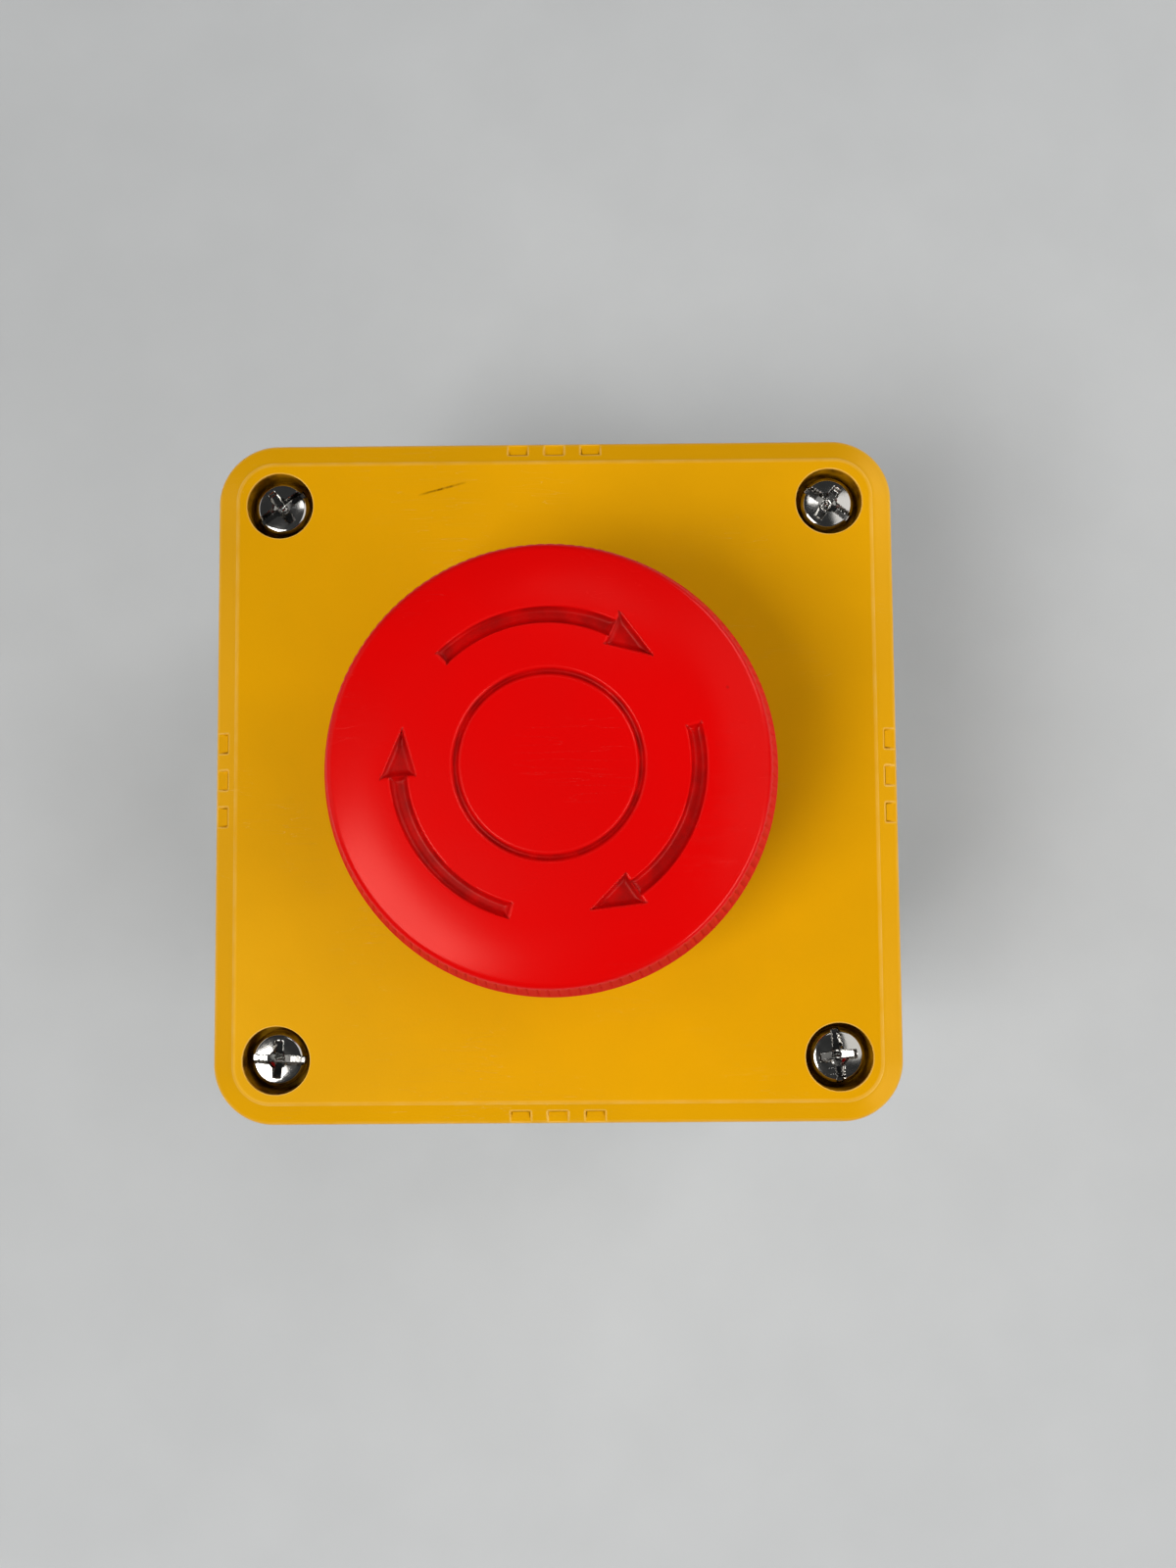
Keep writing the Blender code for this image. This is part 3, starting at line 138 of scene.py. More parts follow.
def mark_points(mesh, added_dirt_and_shade, matt):
    """Point attributes for rubbed edges with painted highlight, and for grime with painted shade. At each
    edge the curvature is 2 n.d / |d|^2, with n the normal at one end and d the way to the other; 'edge' keeps
    the strongest outward bend at a point and the second attribute the strongest inward one, per millimetre,
    plus the amounts of grime and painted shade given for the points; 'matt' is kept as it is."""
    count = len(mesh.vertices)
    places, normals = np.empty(count * 3, np.float32), np.empty(count * 3, np.float32)
    mesh.vertices.foreach_get("co", places)
    mesh.vertex_normals.foreach_get("vector", normals)
    places, normals = places.reshape(-1, 3) / MM, normals.reshape(-1, 3)
    ends = np.empty(len(mesh.edges) * 2, np.int32)
    mesh.edges.foreach_get("vertices", ends)
    ends = ends.reshape(-1, 2)
    edge, hollow_and_shade = np.zeros(count), np.zeros(count)
    for near, far in ((0, 1), (1, 0)):
        way = places[ends[:, far]] - places[ends[:, near]]
        bend = 2.0 * (normals[ends[:, near]] * way).sum(1) / np.maximum((way * way).sum(1), 1e-6)
        np.maximum.at(edge, ends[:, near], -bend)
        np.maximum.at(hollow_and_shade, ends[:, near], bend)
    # The inward bends get the per-point amounts added: grime, and painted shade in the lid's screw wells, the
    # cap's ring and arrows and the screws' drives.
    hollow_and_shade += added_dirt_and_shade
    for name, values in (("edge", edge), ("hollow_and_shade", hollow_and_shade), ("matt", matt + np.zeros(count))):
        stored = mesh.attributes.new(name, "FLOAT", "POINT")
        stored.data.foreach_set("value", np.clip(values, 0.0, MARK_LIMIT).astype(np.float32))


def new_piece(name, grids, material, body, replaced, sharp=38.0, added_dirt_and_shade=None, matt=None):
    """Makes the mesh of one closed skin, turns its faces outward, marks its bends, parents it to the empty of
    the body that it rides on and hides the CAD node that it replaces. The functions given for the added grime
    with painted shade and for 'matt' work out, from the points, how much grime and painted shade is added and
    how dull the surface is."""
    points, faces = weld(grids)
    mesh = bpy.data.meshes.new(name)
    mesh.from_pydata((points * MM).tolist(), [], faces)
    shape = bmesh.new()
    shape.from_mesh(mesh)
    bmesh.ops.recalc_face_normals(shape, faces=shape.faces)
    shape.to_mesh(mesh)
    shape.free()
    mesh.shade_smooth()
    mesh.set_sharp_from_angle(angle=math.radians(sharp))
    mesh.materials.append(material)
    mark_points(mesh, added_dirt_and_shade(points) if added_dirt_and_shade else 0.0, matt(points) if matt else 0.0)
    piece = bpy.data.objects.new(name, mesh)
    bpy.context.scene.collection.objects.link(piece)
    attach(piece, body)
    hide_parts(replaced)
    return piece


def rounded(points, reach, steps=5):
    """A line with its inner corners rounded: from a corner P the line leaves at A, 'reach' before it, and
    returns at B, as far after it, on the curve (1-t)^2 A + 2t(1-t) P + t^2 B."""
    points = np.asarray(points, float)
    reach = np.broadcast_to(np.asarray(reach, float), len(points) - 2)
    before, corner, after = points[:-2], points[1:-1], points[2:]
    t = np.linspace(0.0, 1.0, steps + 1)[None, :, None]

    def toward(other):
        way = other - corner
        length = np.linalg.norm(way, axis=1)
        return corner + way * (np.minimum(reach, 0.48 * length) / length)[:, None]

    start, end = toward(before)[:, None], toward(after)[:, None]
    curve = (1 - t) ** 2 * start + 2 * t * (1 - t) * corner[:, None] + t**2 * end
    return np.concatenate([points[:1], curve.reshape(-1, 2), points[-1:]])


def rounded_closed(points, reach, steps=4):
    """The same for a closed line, which comes back with its first point repeated at the end."""
    points = np.asarray(points, float)
    line = rounded(np.concatenate([points[-1:], points, points[:1]]), reach, steps)[1:-1]
    return np.concatenate([line, line[:1]])


def filled(profile, gap):
    """Adds points to the long parts of a line, so that none is further than 'gap' from the next."""
    lengths = np.linalg.norm(np.diff(profile, axis=0), axis=1)
    counts = np.maximum(np.ceil(lengths / gap).astype(int), 1)
    owner = np.repeat(np.arange(len(counts)), counts)
    part = (np.arange(len(owner)) - np.repeat(np.cumsum(counts) - counts, counts)) / counts[owner]
    line = profile[owner] + np.diff(profile, axis=0)[owner] * part[:, None]
    return np.concatenate([line, profile[-1:]])


def revolved(profile, steps):
    """A profile of (radius, height) carried round Z: x = r cos a, y = r sin a."""
    angle = np.linspace(0.0, 2.0 * math.pi, steps + 1)
    angle[-1] = 0.0
    radius, height = profile[:, :1], profile[:, 1:]
    x, y = radius * np.cos(angle), radius * np.sin(angle)
    return np.stack([x, y, np.broadcast_to(height, x.shape)], -1)


def ruled(start, end, steps):
    """Straight lines from each point of one loop to the same point of another, in equal steps."""
    t = np.linspace(0.0, 1.0, steps + 1)[:, None, None]
    return start * (1.0 - t) + end * t


def at_height(flat, height):
    """Flat (x, y) points lifted to one height."""
    return np.concatenate([flat, np.full(flat.shape[:-1] + (1,), float(height))], -1)


def rim_of(grid):
    """The border of a grid as a closed loop: first row, last column, last row back, first column back."""
    return np.concatenate([grid[0, :-1], grid[:-1, -1], grid[-1, :0:-1], grid[::-1, 0]])


def bored(border, centre, inward, rings):
    """Rings of a round hole inside a border. The points of each ring lie in the direction of the border's
    points from the centre, at the ring's radius, and its depth further along 'inward'."""
    centre, inward = np.asarray(centre, float), np.asarray(inward, float)
    arm = border - centre
    arm = arm - (arm @ inward)[:, None] * inward
    arm /= np.linalg.norm(arm, axis=1)[:, None]
    made = [centre + np.reshape(radius, (-1, 1)) * arm + depth * inward for radius, depth in rings]
    return np.stack(made)


# ---------------------------------------------------------------- loops round the square box
CELL = 23.1  # the corner squares of the box start here: screw axis less pillar radius
HOLE_CELL = 15.0  # the squares round the wall screws and knock-outs start here
FINE = np.arange(0, 54) * 0.1  # close samples where the notches are
ALONG = np.concatenate([FINE, np.arange(6.0, 15.01, 1.0), np.linspace(16.0, CELL, 8)])
STRAIGHT, BEND = 6, 14
EIGHTH = len(ALONG) + STRAIGHT + BEND  # points from a side's middle to the diagonal
QUARTER = 2 * EIGHTH - 2  # steps from one side's middle to the next
SIDE = len(ALONG) - 1  # steps from a side's middle to the corner square
INNER_SIDE = int(np.argmin(np.abs(ALONG - HOLE_CELL)))
QUARTER_TURN = np.array([[0.0, -1.0], [1.0, 0.0]])


def full_loop(eighth):
    """A closed loop from its first eighth: mirrored in the diagonal, then turned by right angles."""
    quarter = np.concatenate([eighth, eighth[-2:0:-1, ::-1]])
    turns = [quarter @ np.linalg.matrix_power(QUARTER_TURN, k).T for k in range(4)]
    return np.concatenate(turns + [quarter[:1]])


def rounded_square(half, radius):
    """Loop round a square with rounded corners."""
    centre = half - radius
    straight = np.linspace(CELL, centre, STRAIGHT + 1)[1:]
    angle = np.linspace(0.0, math.pi / 4, BEND + 1)[1:]
    side = np.stack([np.full(len(ALONG), half), ALONG], 1)
    run = np.stack([np.full(STRAIGHT, half), straight], 1)
    bend = centre + radius * np.stack([np.cos(angle), np.sin(angle)], 1)
    return full_loop(np.concatenate([side, run, bend]))


def pillared_square(half, place):
    """Loop inside the walls, which turns back round the nose of the screw pillar in each corner."""
    angle = np.linspace(-math.pi / 2, -0.75 * math.pi, BEND + 1)[1:]
    side = np.stack([np.full(len(ALONG), half), ALONG], 1)
    step = np.stack([np.linspace(half, place, STRAIGHT + 1)[1:], np.full(STRAIGHT, CELL)], 1)
    nose = place + PILLAR_RADIUS * np.stack([np.cos(angle), np.sin(angle)], 1)
    return full_loop(np.concatenate([side, step, nose]))


def plain_square(half):
    """Loop round a square with sharp corners, where the corner samples all coincide."""
    side = np.stack([np.full(len(ALONG), half), ALONG], 1)
    corner = np.full((STRAIGHT + BEND, 2), half)
    return full_loop(np.concatenate([side, corner]))


def columns(grid, first, last):
    """Columns first to last of a grid that closes on itself. They may be negative."""
    return grid[:, np.arange(first, last + 1) % (grid.shape[1] - 1)]


def side_columns(grid, k):
    return columns(grid, k * QUARTER - SIDE, k * QUARTER + SIDE)


def corner_columns(grid, k):
    return columns(grid, k * QUARTER + SIDE, (k + 1) * QUARTER - SIDE)


def corner_places(place):
    """Centres of the four corners, in the order of the loops' quarters."""
    return [(place, place), (-place, place), (-place, -place), (place, -place)]


def swept(profile, half, radius=CORNER_RADIUS):
    """A profile of (inset, height) carried round the box: each of its points draws the rounded square
    whose half side and corner radius are both less by its inset."""
    loops = [at_height(rounded_square(half - inset, radius - inset), z) for inset, z in profile]
    return np.stack(loops)


def corner_border(block):
    """Closed border of a corner square's grid whose last row is one point: first row, last column, then
    the first column back."""
    return np.concatenate([block[0, :-1], block[:-1, -1], block[::-1, 0]])


def screw_place(node):
    """The axis of an upright round node: the middle of its box."""
    low, high = span(node)
    return (low + high) / 2


# ---------------------------------------------------------------- lid
TOP_ROWS, LIP_ROWS = 22, 2
FLAT_INSET = 2.8  # where the flat front ends
CREASE_DROP, BORDER_DROP = 0.22, 0.16  # of the crease under the front, and of the border past its slope
# Strength of the painted shade, with some grime, in the screw wells; the depth over which it grows; how much
# inward-bend darkening is taken out of the border's marks.
WELL_DIRT_AND_SHADE, WELL_FADE, BORDER_CLEAN = 6.0, 0.8, 6.0


def notch_depth(grid, inset):
    """Depth of the small marks on the border: three soft-edged boxes along each side, deepening evenly
    from the outer edge inward to a step."""
    x, y = np.abs(grid[..., 0]), np.abs(grid[..., 1])
    along = np.where(x > y, grid[..., 1], grid[..., 0])
    nearest = NOTCH_PITCH * np.clip(np.round(along / NOTCH_PITCH), -1, 1)
    inside = np.clip((NOTCH_HALF - np.abs(along - nearest)) / NOTCH_SOFT + 0.5, 0.0, 1.0)
    reach = smooth_step((inset - 0.12) / 0.22) * np.clip((NOTCH_REACH - inset) / NOTCH_SOFT + 0.5, 0.0, 1.0)
    ramp = 0.10 + 0.24 * np.clip((inset - 0.3) / (NOTCH_REACH - 0.3), 0.0, 1.0)
    return inside * (reach * ramp)[:, None]


def make_lid(material):
    """Flat front, soft crease, sloping border with its marks, rounded edge, wall, gasket groove,
    pillars, four stepped screw wells and the head's hole."""
    low, high = span("lid")
    half, seam, face = high[0], low[2], high[2]
    place = screw_place("lid_screw_1")[0]
    well_floor = face - (span("lid_screw_1")[1][2] - HEAD_RISE - SEAT)
    section = [
        (FLAT_INSET, face),
        (BEVEL_WIDTH + 0.1, face),
        (BEVEL_WIDTH - 0.25, face - CREASE_DROP),
        (0.0, face - BEVEL_DROP - BORDER_DROP),
        (0.0, seam),
        (GROOVE_OUTER, seam),
        (GROOVE_OUTER, GROOVE_TOP),
        (GROOVE_INNER, GROOVE_TOP),
        (GROOVE_INNER, seam),
    ]
    profile = rounded(section, [0.22, 0.2, 0.36, 0.3, 0.12, 0.2, 0.2], 5)
    fine = profile[:, 1] > face - 1.3
    upper = filled(profile[fine], 0.12)
    profile = np.concatenate([upper, filled(profile[~fine], 1.6)])
    outside = swept(profile, half)
    outside[..., 2] -= notch_depth(outside, np.where(profile[:, 1] > face - 1.25, profile[:, 0], 9.0))

    square = plain_square(CELL)
    front = ruled(outside[0], at_height(square, face), TOP_ROWS)
    hole = bored(at_height(square, face), (0, 0, face), (0, 0, -1), [(HEAD_HOLE + 0.25, 0.0)])[0]
    walls = pillared_square(half - LID_WALL, place)
    under = at_height(walls, face - LID_PLATE)
    hole_line = rounded(
        [(HEAD_HOLE + 0.25, 0.0), (HEAD_HOLE, 0.0), (HEAD_HOLE, LID_PLATE), (HEAD_HOLE + 0.2, LID_PLATE)], 0.2
    )
    bore = bored(at_height(square, face), (0, 0, face), (0, 0, -1), hole_line)
    lip = ruled(outside[-1], at_height(walls, seam), LIP_ROWS)

    grids = [outside, ruled(at_height(square, face), hole, 3), bore, ruled(bore[-1], under, 4)]
    grids.append(ruled(under, at_height(walls, seam), 6))
    rings = rounded(
        [
            (RECESS_RADIUS + 0.12, 0.0),
            (RECESS_RADIUS, 0.0),
            (RECESS_RADIUS, well_floor),
            (SCREW_HOLE, well_floor),
            (SCREW_HOLE, well_floor + 1.0),
        ],
        [0.11, 0.25, 0.15],
    )
    rings = filled(rings, 0.45)

    def lid_dirt_and_shade(points):
        """Painted shade, with some grime, in the screw wells, growing over their first 0.8 mm; none in the
        marks on the border.
        """
        x, y = np.abs(points[:, 0]), np.abs(points[:, 1])
        well = np.hypot(x - place, y - place) < RECESS_RADIUS + 0.1
        border = (np.maximum(x, y) > half - NOTCH_REACH - 0.5) & (points[:, 2] > face - 2.0)
        return WELL_DIRT_AND_SHADE * well * smooth_step((face - points[:, 2]) / WELL_FADE) - BORDER_CLEAN * border

    for k, (x, y) in enumerate(corner_places(place)):
        grids += [side_columns(front, k), side_columns(lip, k)]
        top_border = corner_border(corner_columns(front, k))
        low_border = rim_of(corner_columns(lip, k))
        well = bored(top_border, (x, y, face), (0, 0, -1), rings)
        mouth = bored(low_border, (x, y, seam), (0, 0, 1), [(SCREW_HOLE, 0.0)])
        grids += [ruled(top_border, well[0], 2), well, ruled(well[-1], mouth[0], 3)]
        grids.append(ruled(mouth[0], low_border, 1))
    return new_piece("lid_skin", grids, material, "station", "lid", added_dirt_and_shade=lid_dirt_and_shade)


# ---------------------------------------------------------------- base
def knocked_out(wall, k, height, half):
    """Fills a rectangular opening in an end wall with its knock-out: ring groove, disc and slot. The slot's
    outline lies at min(length / |cos a|, width / |sin a|) in each direction a."""
    outward = np.array([0.0, 1.0, 0.0]) * (1 if k == 1 else -1)
    centre = np.array([0.0, 0.0, height]) + outward * half
    border = rim_of(wall)
    groove = rounded(
        [
            (KNOCKOUT_OUTER + 0.4, 0.0),
            (KNOCKOUT_OUTER, 0.0),
            (KNOCKOUT_OUTER, KNOCKOUT_DEPTH),
            (KNOCKOUT_INNER, KNOCKOUT_DEPTH),
            (KNOCKOUT_INNER, 0.0),
            (KNOCKOUT_INNER - 0.4, 0.0),
        ],
        0.18,
        4,
    )
    arm = border - centre
    length, width, depth = KNOCKOUT_SLOT
    reach = np.linalg.norm(arm, axis=1)
    flat = np.maximum(np.abs(arm[:, 0]) / length, np.abs(arm[:, 2]) / width)
    edge = reach / flat
    around = [(SLOT_RING, 0.0), (edge + 0.3, 0.0), (edge + SLOT_ROUND, 0.0), (edge, SLOT_ROUND)]
    rings = bored(border, centre, -outward, [*groove, *around])
    floor = bored(border, centre, -outward, [(edge, depth), (edge * 0.02, depth), (0.0, depth)])
    return [ruled(border, rings[0], 3), rings, ruled(rings[-1], floor[0], 2), floor]


def make_base(material):
    """Box that the lid closes: chamfered foot, walls, rim with its sealing tongue, screw pillars with their
    pilot holes, wall screw holes and a knock-out in each end wall."""
    high = span("base_box")[1]
    rim, half = high[2] - TONGUE_HEIGHT, high[0] + BASE_INSET
    place = screw_place("lid_screw_1")[0]
    height = (BASE_FLOOR + rim) / 2
    inner = half - LID_WALL
    cell_low, cell_high = height - KNOCKOUT_CELL, height + KNOCKOUT_CELL
    foot = rounded([(3.0, 0.0), (BASE_INSET + BASE_CHAMFER, 0.0), (BASE_INSET, BASE_CHAMFER)], 0.3, 4)
    below_cell = np.linspace(BASE_CHAMFER, cell_low, 5)[1:]
    wall = np.concatenate([below_cell, np.linspace(cell_low, cell_high, CELL_ROWS)[1:]])
    wall_low = len(foot) + 3
    wall = np.stack([np.full(len(wall), BASE_INSET), wall], 1)
    top = rounded(
        [
            (BASE_INSET, rim - 2.0),
            (BASE_INSET, rim),
            (TONGUE_OUTER, rim),
            (TONGUE_OUTER, rim + TONGUE_HEIGHT),
            (TONGUE_INNER, rim + TONGUE_HEIGHT),
            (TONGUE_INNER, rim),
            (TONGUE_INNER + 0.1, rim),
        ],
        [0.25, 0.1, 0.15, 0.15, 0.1],
        3,
    )
    outside = swept(np.concatenate([foot, wall, top]), half)

    square = plain_square(CELL)
    walls = pillared_square(inner, place)
    below = ruled(outside[0], at_height(square, 0.0), LIP_ROWS)
    floor = ruled(at_height(walls, BASE_FLOOR), at_height(square, BASE_FLOOR), LIP_ROWS)
    grids = [ruled(at_height(square, z), np.zeros((1, 3)) + (0, 0, z), 2) for z in (0.0, BASE_FLOOR)]
    grids.append(ruled(at_height(walls, rim), at_height(walls, BASE_FLOOR), 8))
    lip = ruled(outside[-1], at_height(walls, rim), LIP_ROWS)
    deep = rim - span("lid_screw_1")[0][2] + PILOT_SPARE
    pilot = [(SCREW_HOLE + 0.2, 0.0), (SCREW_HOLE, 0.2), (SCREW_HOLE, deep), (0.0, deep)]
    for k, (x, y) in enumerate(corner_places(place)):
        grids += [corner_columns(below, k), corner_columns(floor, k), side_columns(lip, k)]
        border = rim_of(corner_columns(lip, k))
        well = bored(border, (x, y, rim), (0, 0, -1), pilot)
        grids += [ruled(border, well[0], 1), well]
    for k in (0, 2):
        grids += [side_columns(below, k), side_columns(floor, k)]
    for k in (1, 3):
        middle = k * QUARTER
        grids += [columns(part, middle - INNER_SIDE, middle + INNER_SIDE) for part in (below, floor)]
        for first, last in ((-SIDE, -INNER_SIDE), (INNER_SIDE, SIDE)):
            outer_block = columns(below, middle + first, middle + last)
            inner_block = columns(floor, middle + first, middle + last)
            outer_rim, inner_rim = rim_of(outer_block), rim_of(inner_block)
            x = MOUNT_X * np.sign(outer_block[0, 1, 0])
            y = MOUNT_Y * np.sign(outer_block[0, 1, 1])
            mouth = [(MOUNT_HOLE + 0.3, 0.0), (MOUNT_HOLE, 0.3), (MOUNT_HOLE, 1.2)]
            lower = bored(outer_rim, (x, y, 0.0), (0, 0, 1), mouth)
            upper = bored(inner_rim, (x, y, BASE_FLOOR), (0, 0, -1), mouth[::-1])
            grids += [ruled(outer_rim, lower[0], 2), lower, ruled(lower[-1], upper[0], 1)]
            grids += [upper, ruled(upper[-1], inner_rim, 2)]
        window = columns(outside, middle - INNER_SIDE, middle + INNER_SIDE)[wall_low : wall_low + CELL_ROWS]
        grids += knocked_out(window, k, height, half - BASE_INSET)
    last = wall_low + CELL_ROWS - 1
    grids += [outside[: wall_low + 1], outside[last:]]
    band = outside[wall_low : last + 1]
    grids.append(columns(band, -QUARTER + INNER_SIDE, QUARTER - INNER_SIDE))
    grids.append(columns(band, QUARTER + INNER_SIDE, 3 * QUARTER - INNER_SIDE))
    return new_piece("base_skin", grids, material, "station", "base_box")


# ---------------------------------------------------------------- mushroom cap
SIDE_START, SIDE_FADE, SIDE_CLEAN = 0.4, 0.8, 7.5
# Where the ring and arrows end, the depth at which their painted shade with grime is full, the depth past
# which it stops, and its strength.
MARKS_END, MARK_FULL, MARK_DEEPEST, MARK_DIRT_AND_SHADE = 16.0, 0.4, 0.7, 4.0


def arrow_depth(radius, clock):
    """Depth of the three curved arrows, from 0 to 1. 'clock' is in degrees clockwise from +Y. The shaft is
    a band about the dial's circle that widens towards the head; the head is a triangle. Both are signed
    distances d, and inside the smaller one the depth is 1 - (1 - t)^2 with t growing evenly inward."""
    turn = (clock + 60.0) % 120.0 - 60.0
    along = np.radians(turn) * ARROW_RADIUS
    tail, neck = math.radians(ARROW_TAIL) * ARROW_RADIUS, math.radians(ARROW_NECK) * ARROW_RADIUS
    share = np.clip((along - tail) / (neck - tail), 0.0, 1.0)
    beside = np.abs(radius - ARROW_RADIUS) - (SHAFT_HALF + SHAFT_WIDENING * share)
    shaft = np.maximum(beside, np.maximum(tail - along, along - neck))
    x, y = radius * np.sin(np.radians(turn)), radius * np.cos(np.radians(turn))
    outer, inner = ARROW_RADIUS + ARROW_HEAD_HALF, ARROW_RADIUS - ARROW_HEAD_HALF
    outline = [(ARROW_NECK, outer), (ARROW_TIP, ARROW_RADIUS), (ARROW_NECK, inner)]
    corners = [(r * math.sin(math.radians(a)), r * math.cos(math.radians(a))) for a, r in outline]
    head = np.full(np.shape(x + y), -9.0)
    for (x0, y0), (x1, y1) in zip(corners, corners[1:] + corners[:1]):
        length = math.hypot(x1 - x0, y1 - y0)
        head = np.maximum(head, ((x1 - x0) * (y - y0) - (y1 - y0) * (x - x0)) / length)
    inward = np.clip((0.08 - np.minimum(shaft, head)) / 0.56, 0.0, 1.0)
    return 1.0 - (1.0 - inward) ** 2


def crown_drop(radius):
    """How far the cap's top lies under its middle: the square of the radius, and near the edge the square
    of the way past the shoulder as well."""
    shoulder = np.maximum(radius - CAP_SHOULDER, 0.0) / (CAP_TOP_RADIUS - CAP_ROUND - CAP_SHOULDER)
    return CAP_CROWN * (radius / CAP_TOP_RADIUS) ** 2 + CAP_SHOULDER_DROP * shoulder**2


def make_cap(material):
    """Mushroom cap: crowned top with a ring groove and three arrows, rounded edge, toothed gripping side,
    skirt, underside and hub."""
    low, high = span("mushroom_cap")
    top, rim, reach = high[2], high[2] - CAP_HEIGHT, high[0]
    under, hub = top - CAP_PLATE, low[2]
    edge = CAP_TOP_RADIUS - CAP_ROUND
    radii = np.concatenate(
        [
            [0.0, 0.5, 1.6, 3.2, 4.8, 6.2, 6.9],
            np.arange(7.16, 8.45, 0.075),
            [8.8, 9.6, 10.4],
            np.arange(10.72, 14.5, 0.08),
            np.arange(14.8, edge - 0.1, 0.4),
        ]
    )
    crown = np.stack([radii, top - crown_drop(radii)], 1)
    bend = np.radians(np.linspace(80.0, 10.0, 9))
    over = np.stack([np.cos(bend), np.sin(bend) - 1.0], 1)
    round_line = np.array([edge, top - crown_drop(edge)]) + CAP_ROUND * over
    grip = np.linspace(round_line[-1], (reach, rim + 0.25), 12)[1:]
    inside = rounded(
        [
            (reach - 0.2, rim),
            (reach - CAP_SKIRT, rim),
            (CAP_TOP_RADIUS - CAP_SKIRT, under),
            (HUB_RADIUS, under),
            (HUB_RADIUS, hub),
            (HUB_BORE, hub),
            (HUB_BORE, under),
            (0.0, under),
        ],
        [0.3, 0.8, 0.6, 0.25, 0.25, 0.2],
        3,
    )
    profile = np.concatenate([crown, round_line, grip, inside])
    grid = revolved(profile, TEETH * TOOTH_SAMPLES)

    sample = np.arange(grid.shape[1]) % TOOTH_SAMPLES
    groove = np.array([1.0, 0.12, 0.0, 0.0, 0.12])[sample]
    fade = np.zeros(len(profile))
    first = len(crown) + 5
    last = len(crown) + len(round_line) + len(grip)
    step = np.arange(last - first)
    fade[first:last] = smooth_step(step / 4.0) * smooth_step((last - first - 1 - step) / 3.0)
    radius = profile[:, :1]
    shrink = 1.0 - TOOTH_DEPTH * fade[:, None] * groove[None, :] / np.maximum(radius, 1.0)
    grid[..., :2] *= shrink[..., None]

    rows = slice(0, len(crown))
    x, y = grid[rows, :, 0], grid[rows, :, 1]
    distance = np.hypot(x, y)
    ring = np.cos(0.5 * math.pi * np.clip((distance - RING_RADIUS) / RING_HALF, -1.0, 1.0)) ** 2
    arrows = arrow_depth(distance, np.degrees(np.arctan2(x, y)))
    grid[rows, :, 2] -= RING_DEPTH * ring + ARROW_DEPTH * arrows

    def side_share(points):
        """0 on the top and 1 on the gripping side, growing over the rounded edge."""
        distance = np.hypot(points[:, 0], points[:, 1])
        lower = smooth_step((top - CAP_CROWN - SIDE_START - points[:, 2]) / SIDE_FADE)
        return smooth_step((distance - edge) / CAP_ROUND) * lower

    def cap_dirt_and_shade(points):
        """Painted shade, with some grime, in the ring and the arrows, growing with the depth under the crown;
        less darkening between the teeth.
        """
        distance = np.hypot(points[:, 0], points[:, 1])
        sunk = top - crown_drop(distance) - points[:, 2]
        marks = (distance < MARKS_END) * (sunk < MARK_DEEPEST) * np.clip(sunk / MARK_FULL, 0.0, 1.0)
        return MARK_DIRT_AND_SHADE * marks - SIDE_CLEAN * side_share(points)

    return new_piece(
        "cap_skin",
        [grid],
        material,
        "button",
        "mushroom_cap",
        sharp=52.0,
        added_dirt_and_shade=cap_dirt_and_shade,
        matt=side_share,
    )


# ---------------------------------------------------------------- screws
HEAD_RADIUS, HEAD_RISE, HEAD_DOME, HEAD_EDGE, SHANK = 2.7, 2.0, 0.28, 0.5, 1.5
SCREW_TURNS = (-35.0, 35.0, -3.0, 96.0)  # degrees, one for each lid screw
# Strength of the painted shade in the drive, and the depth past which it stops.
DRIVE_SHADE, DRIVE_DEEPEST = 5.0, 1.5


def drive_depth(x, y, dome):
    """Depth of the drive under the head's surface. Each cross arm is a channel whose floor rises outward, the
    middle is a cone, and the slot follows one arm right across the head."""

    def channel(along, beside, half, reach, depth):
        wall = np.clip((half - beside) / 0.13 + 0.5, 0.0, 1.0)
        end = np.clip((reach - along) / 0.2 + 0.5, 0.0, 1.0)
        return wall * end * depth

    a, b = np.abs(x), np.abs(y)
    long_arm = channel(a, b, 0.47 - 0.07 * a, 1.75, 1.15 - 0.42 * a)
    cross_arm = channel(b, a, 0.47 - 0.07 * b, 1.75, 1.15 - 0.42 * b)
    slot = channel(a, b, 0.36, 4.0, np.clip(dome - (HEAD_RISE - 0.72), 0.30, 1.0))
    cone = np.clip(1.35 - 0.8 * np.hypot(x, y), 0.0, 1.3) * (np.hypot(x, y) < 0.95)
    return np.maximum(np.maximum(long_arm, cross_arm), np.maximum(slot, cone))


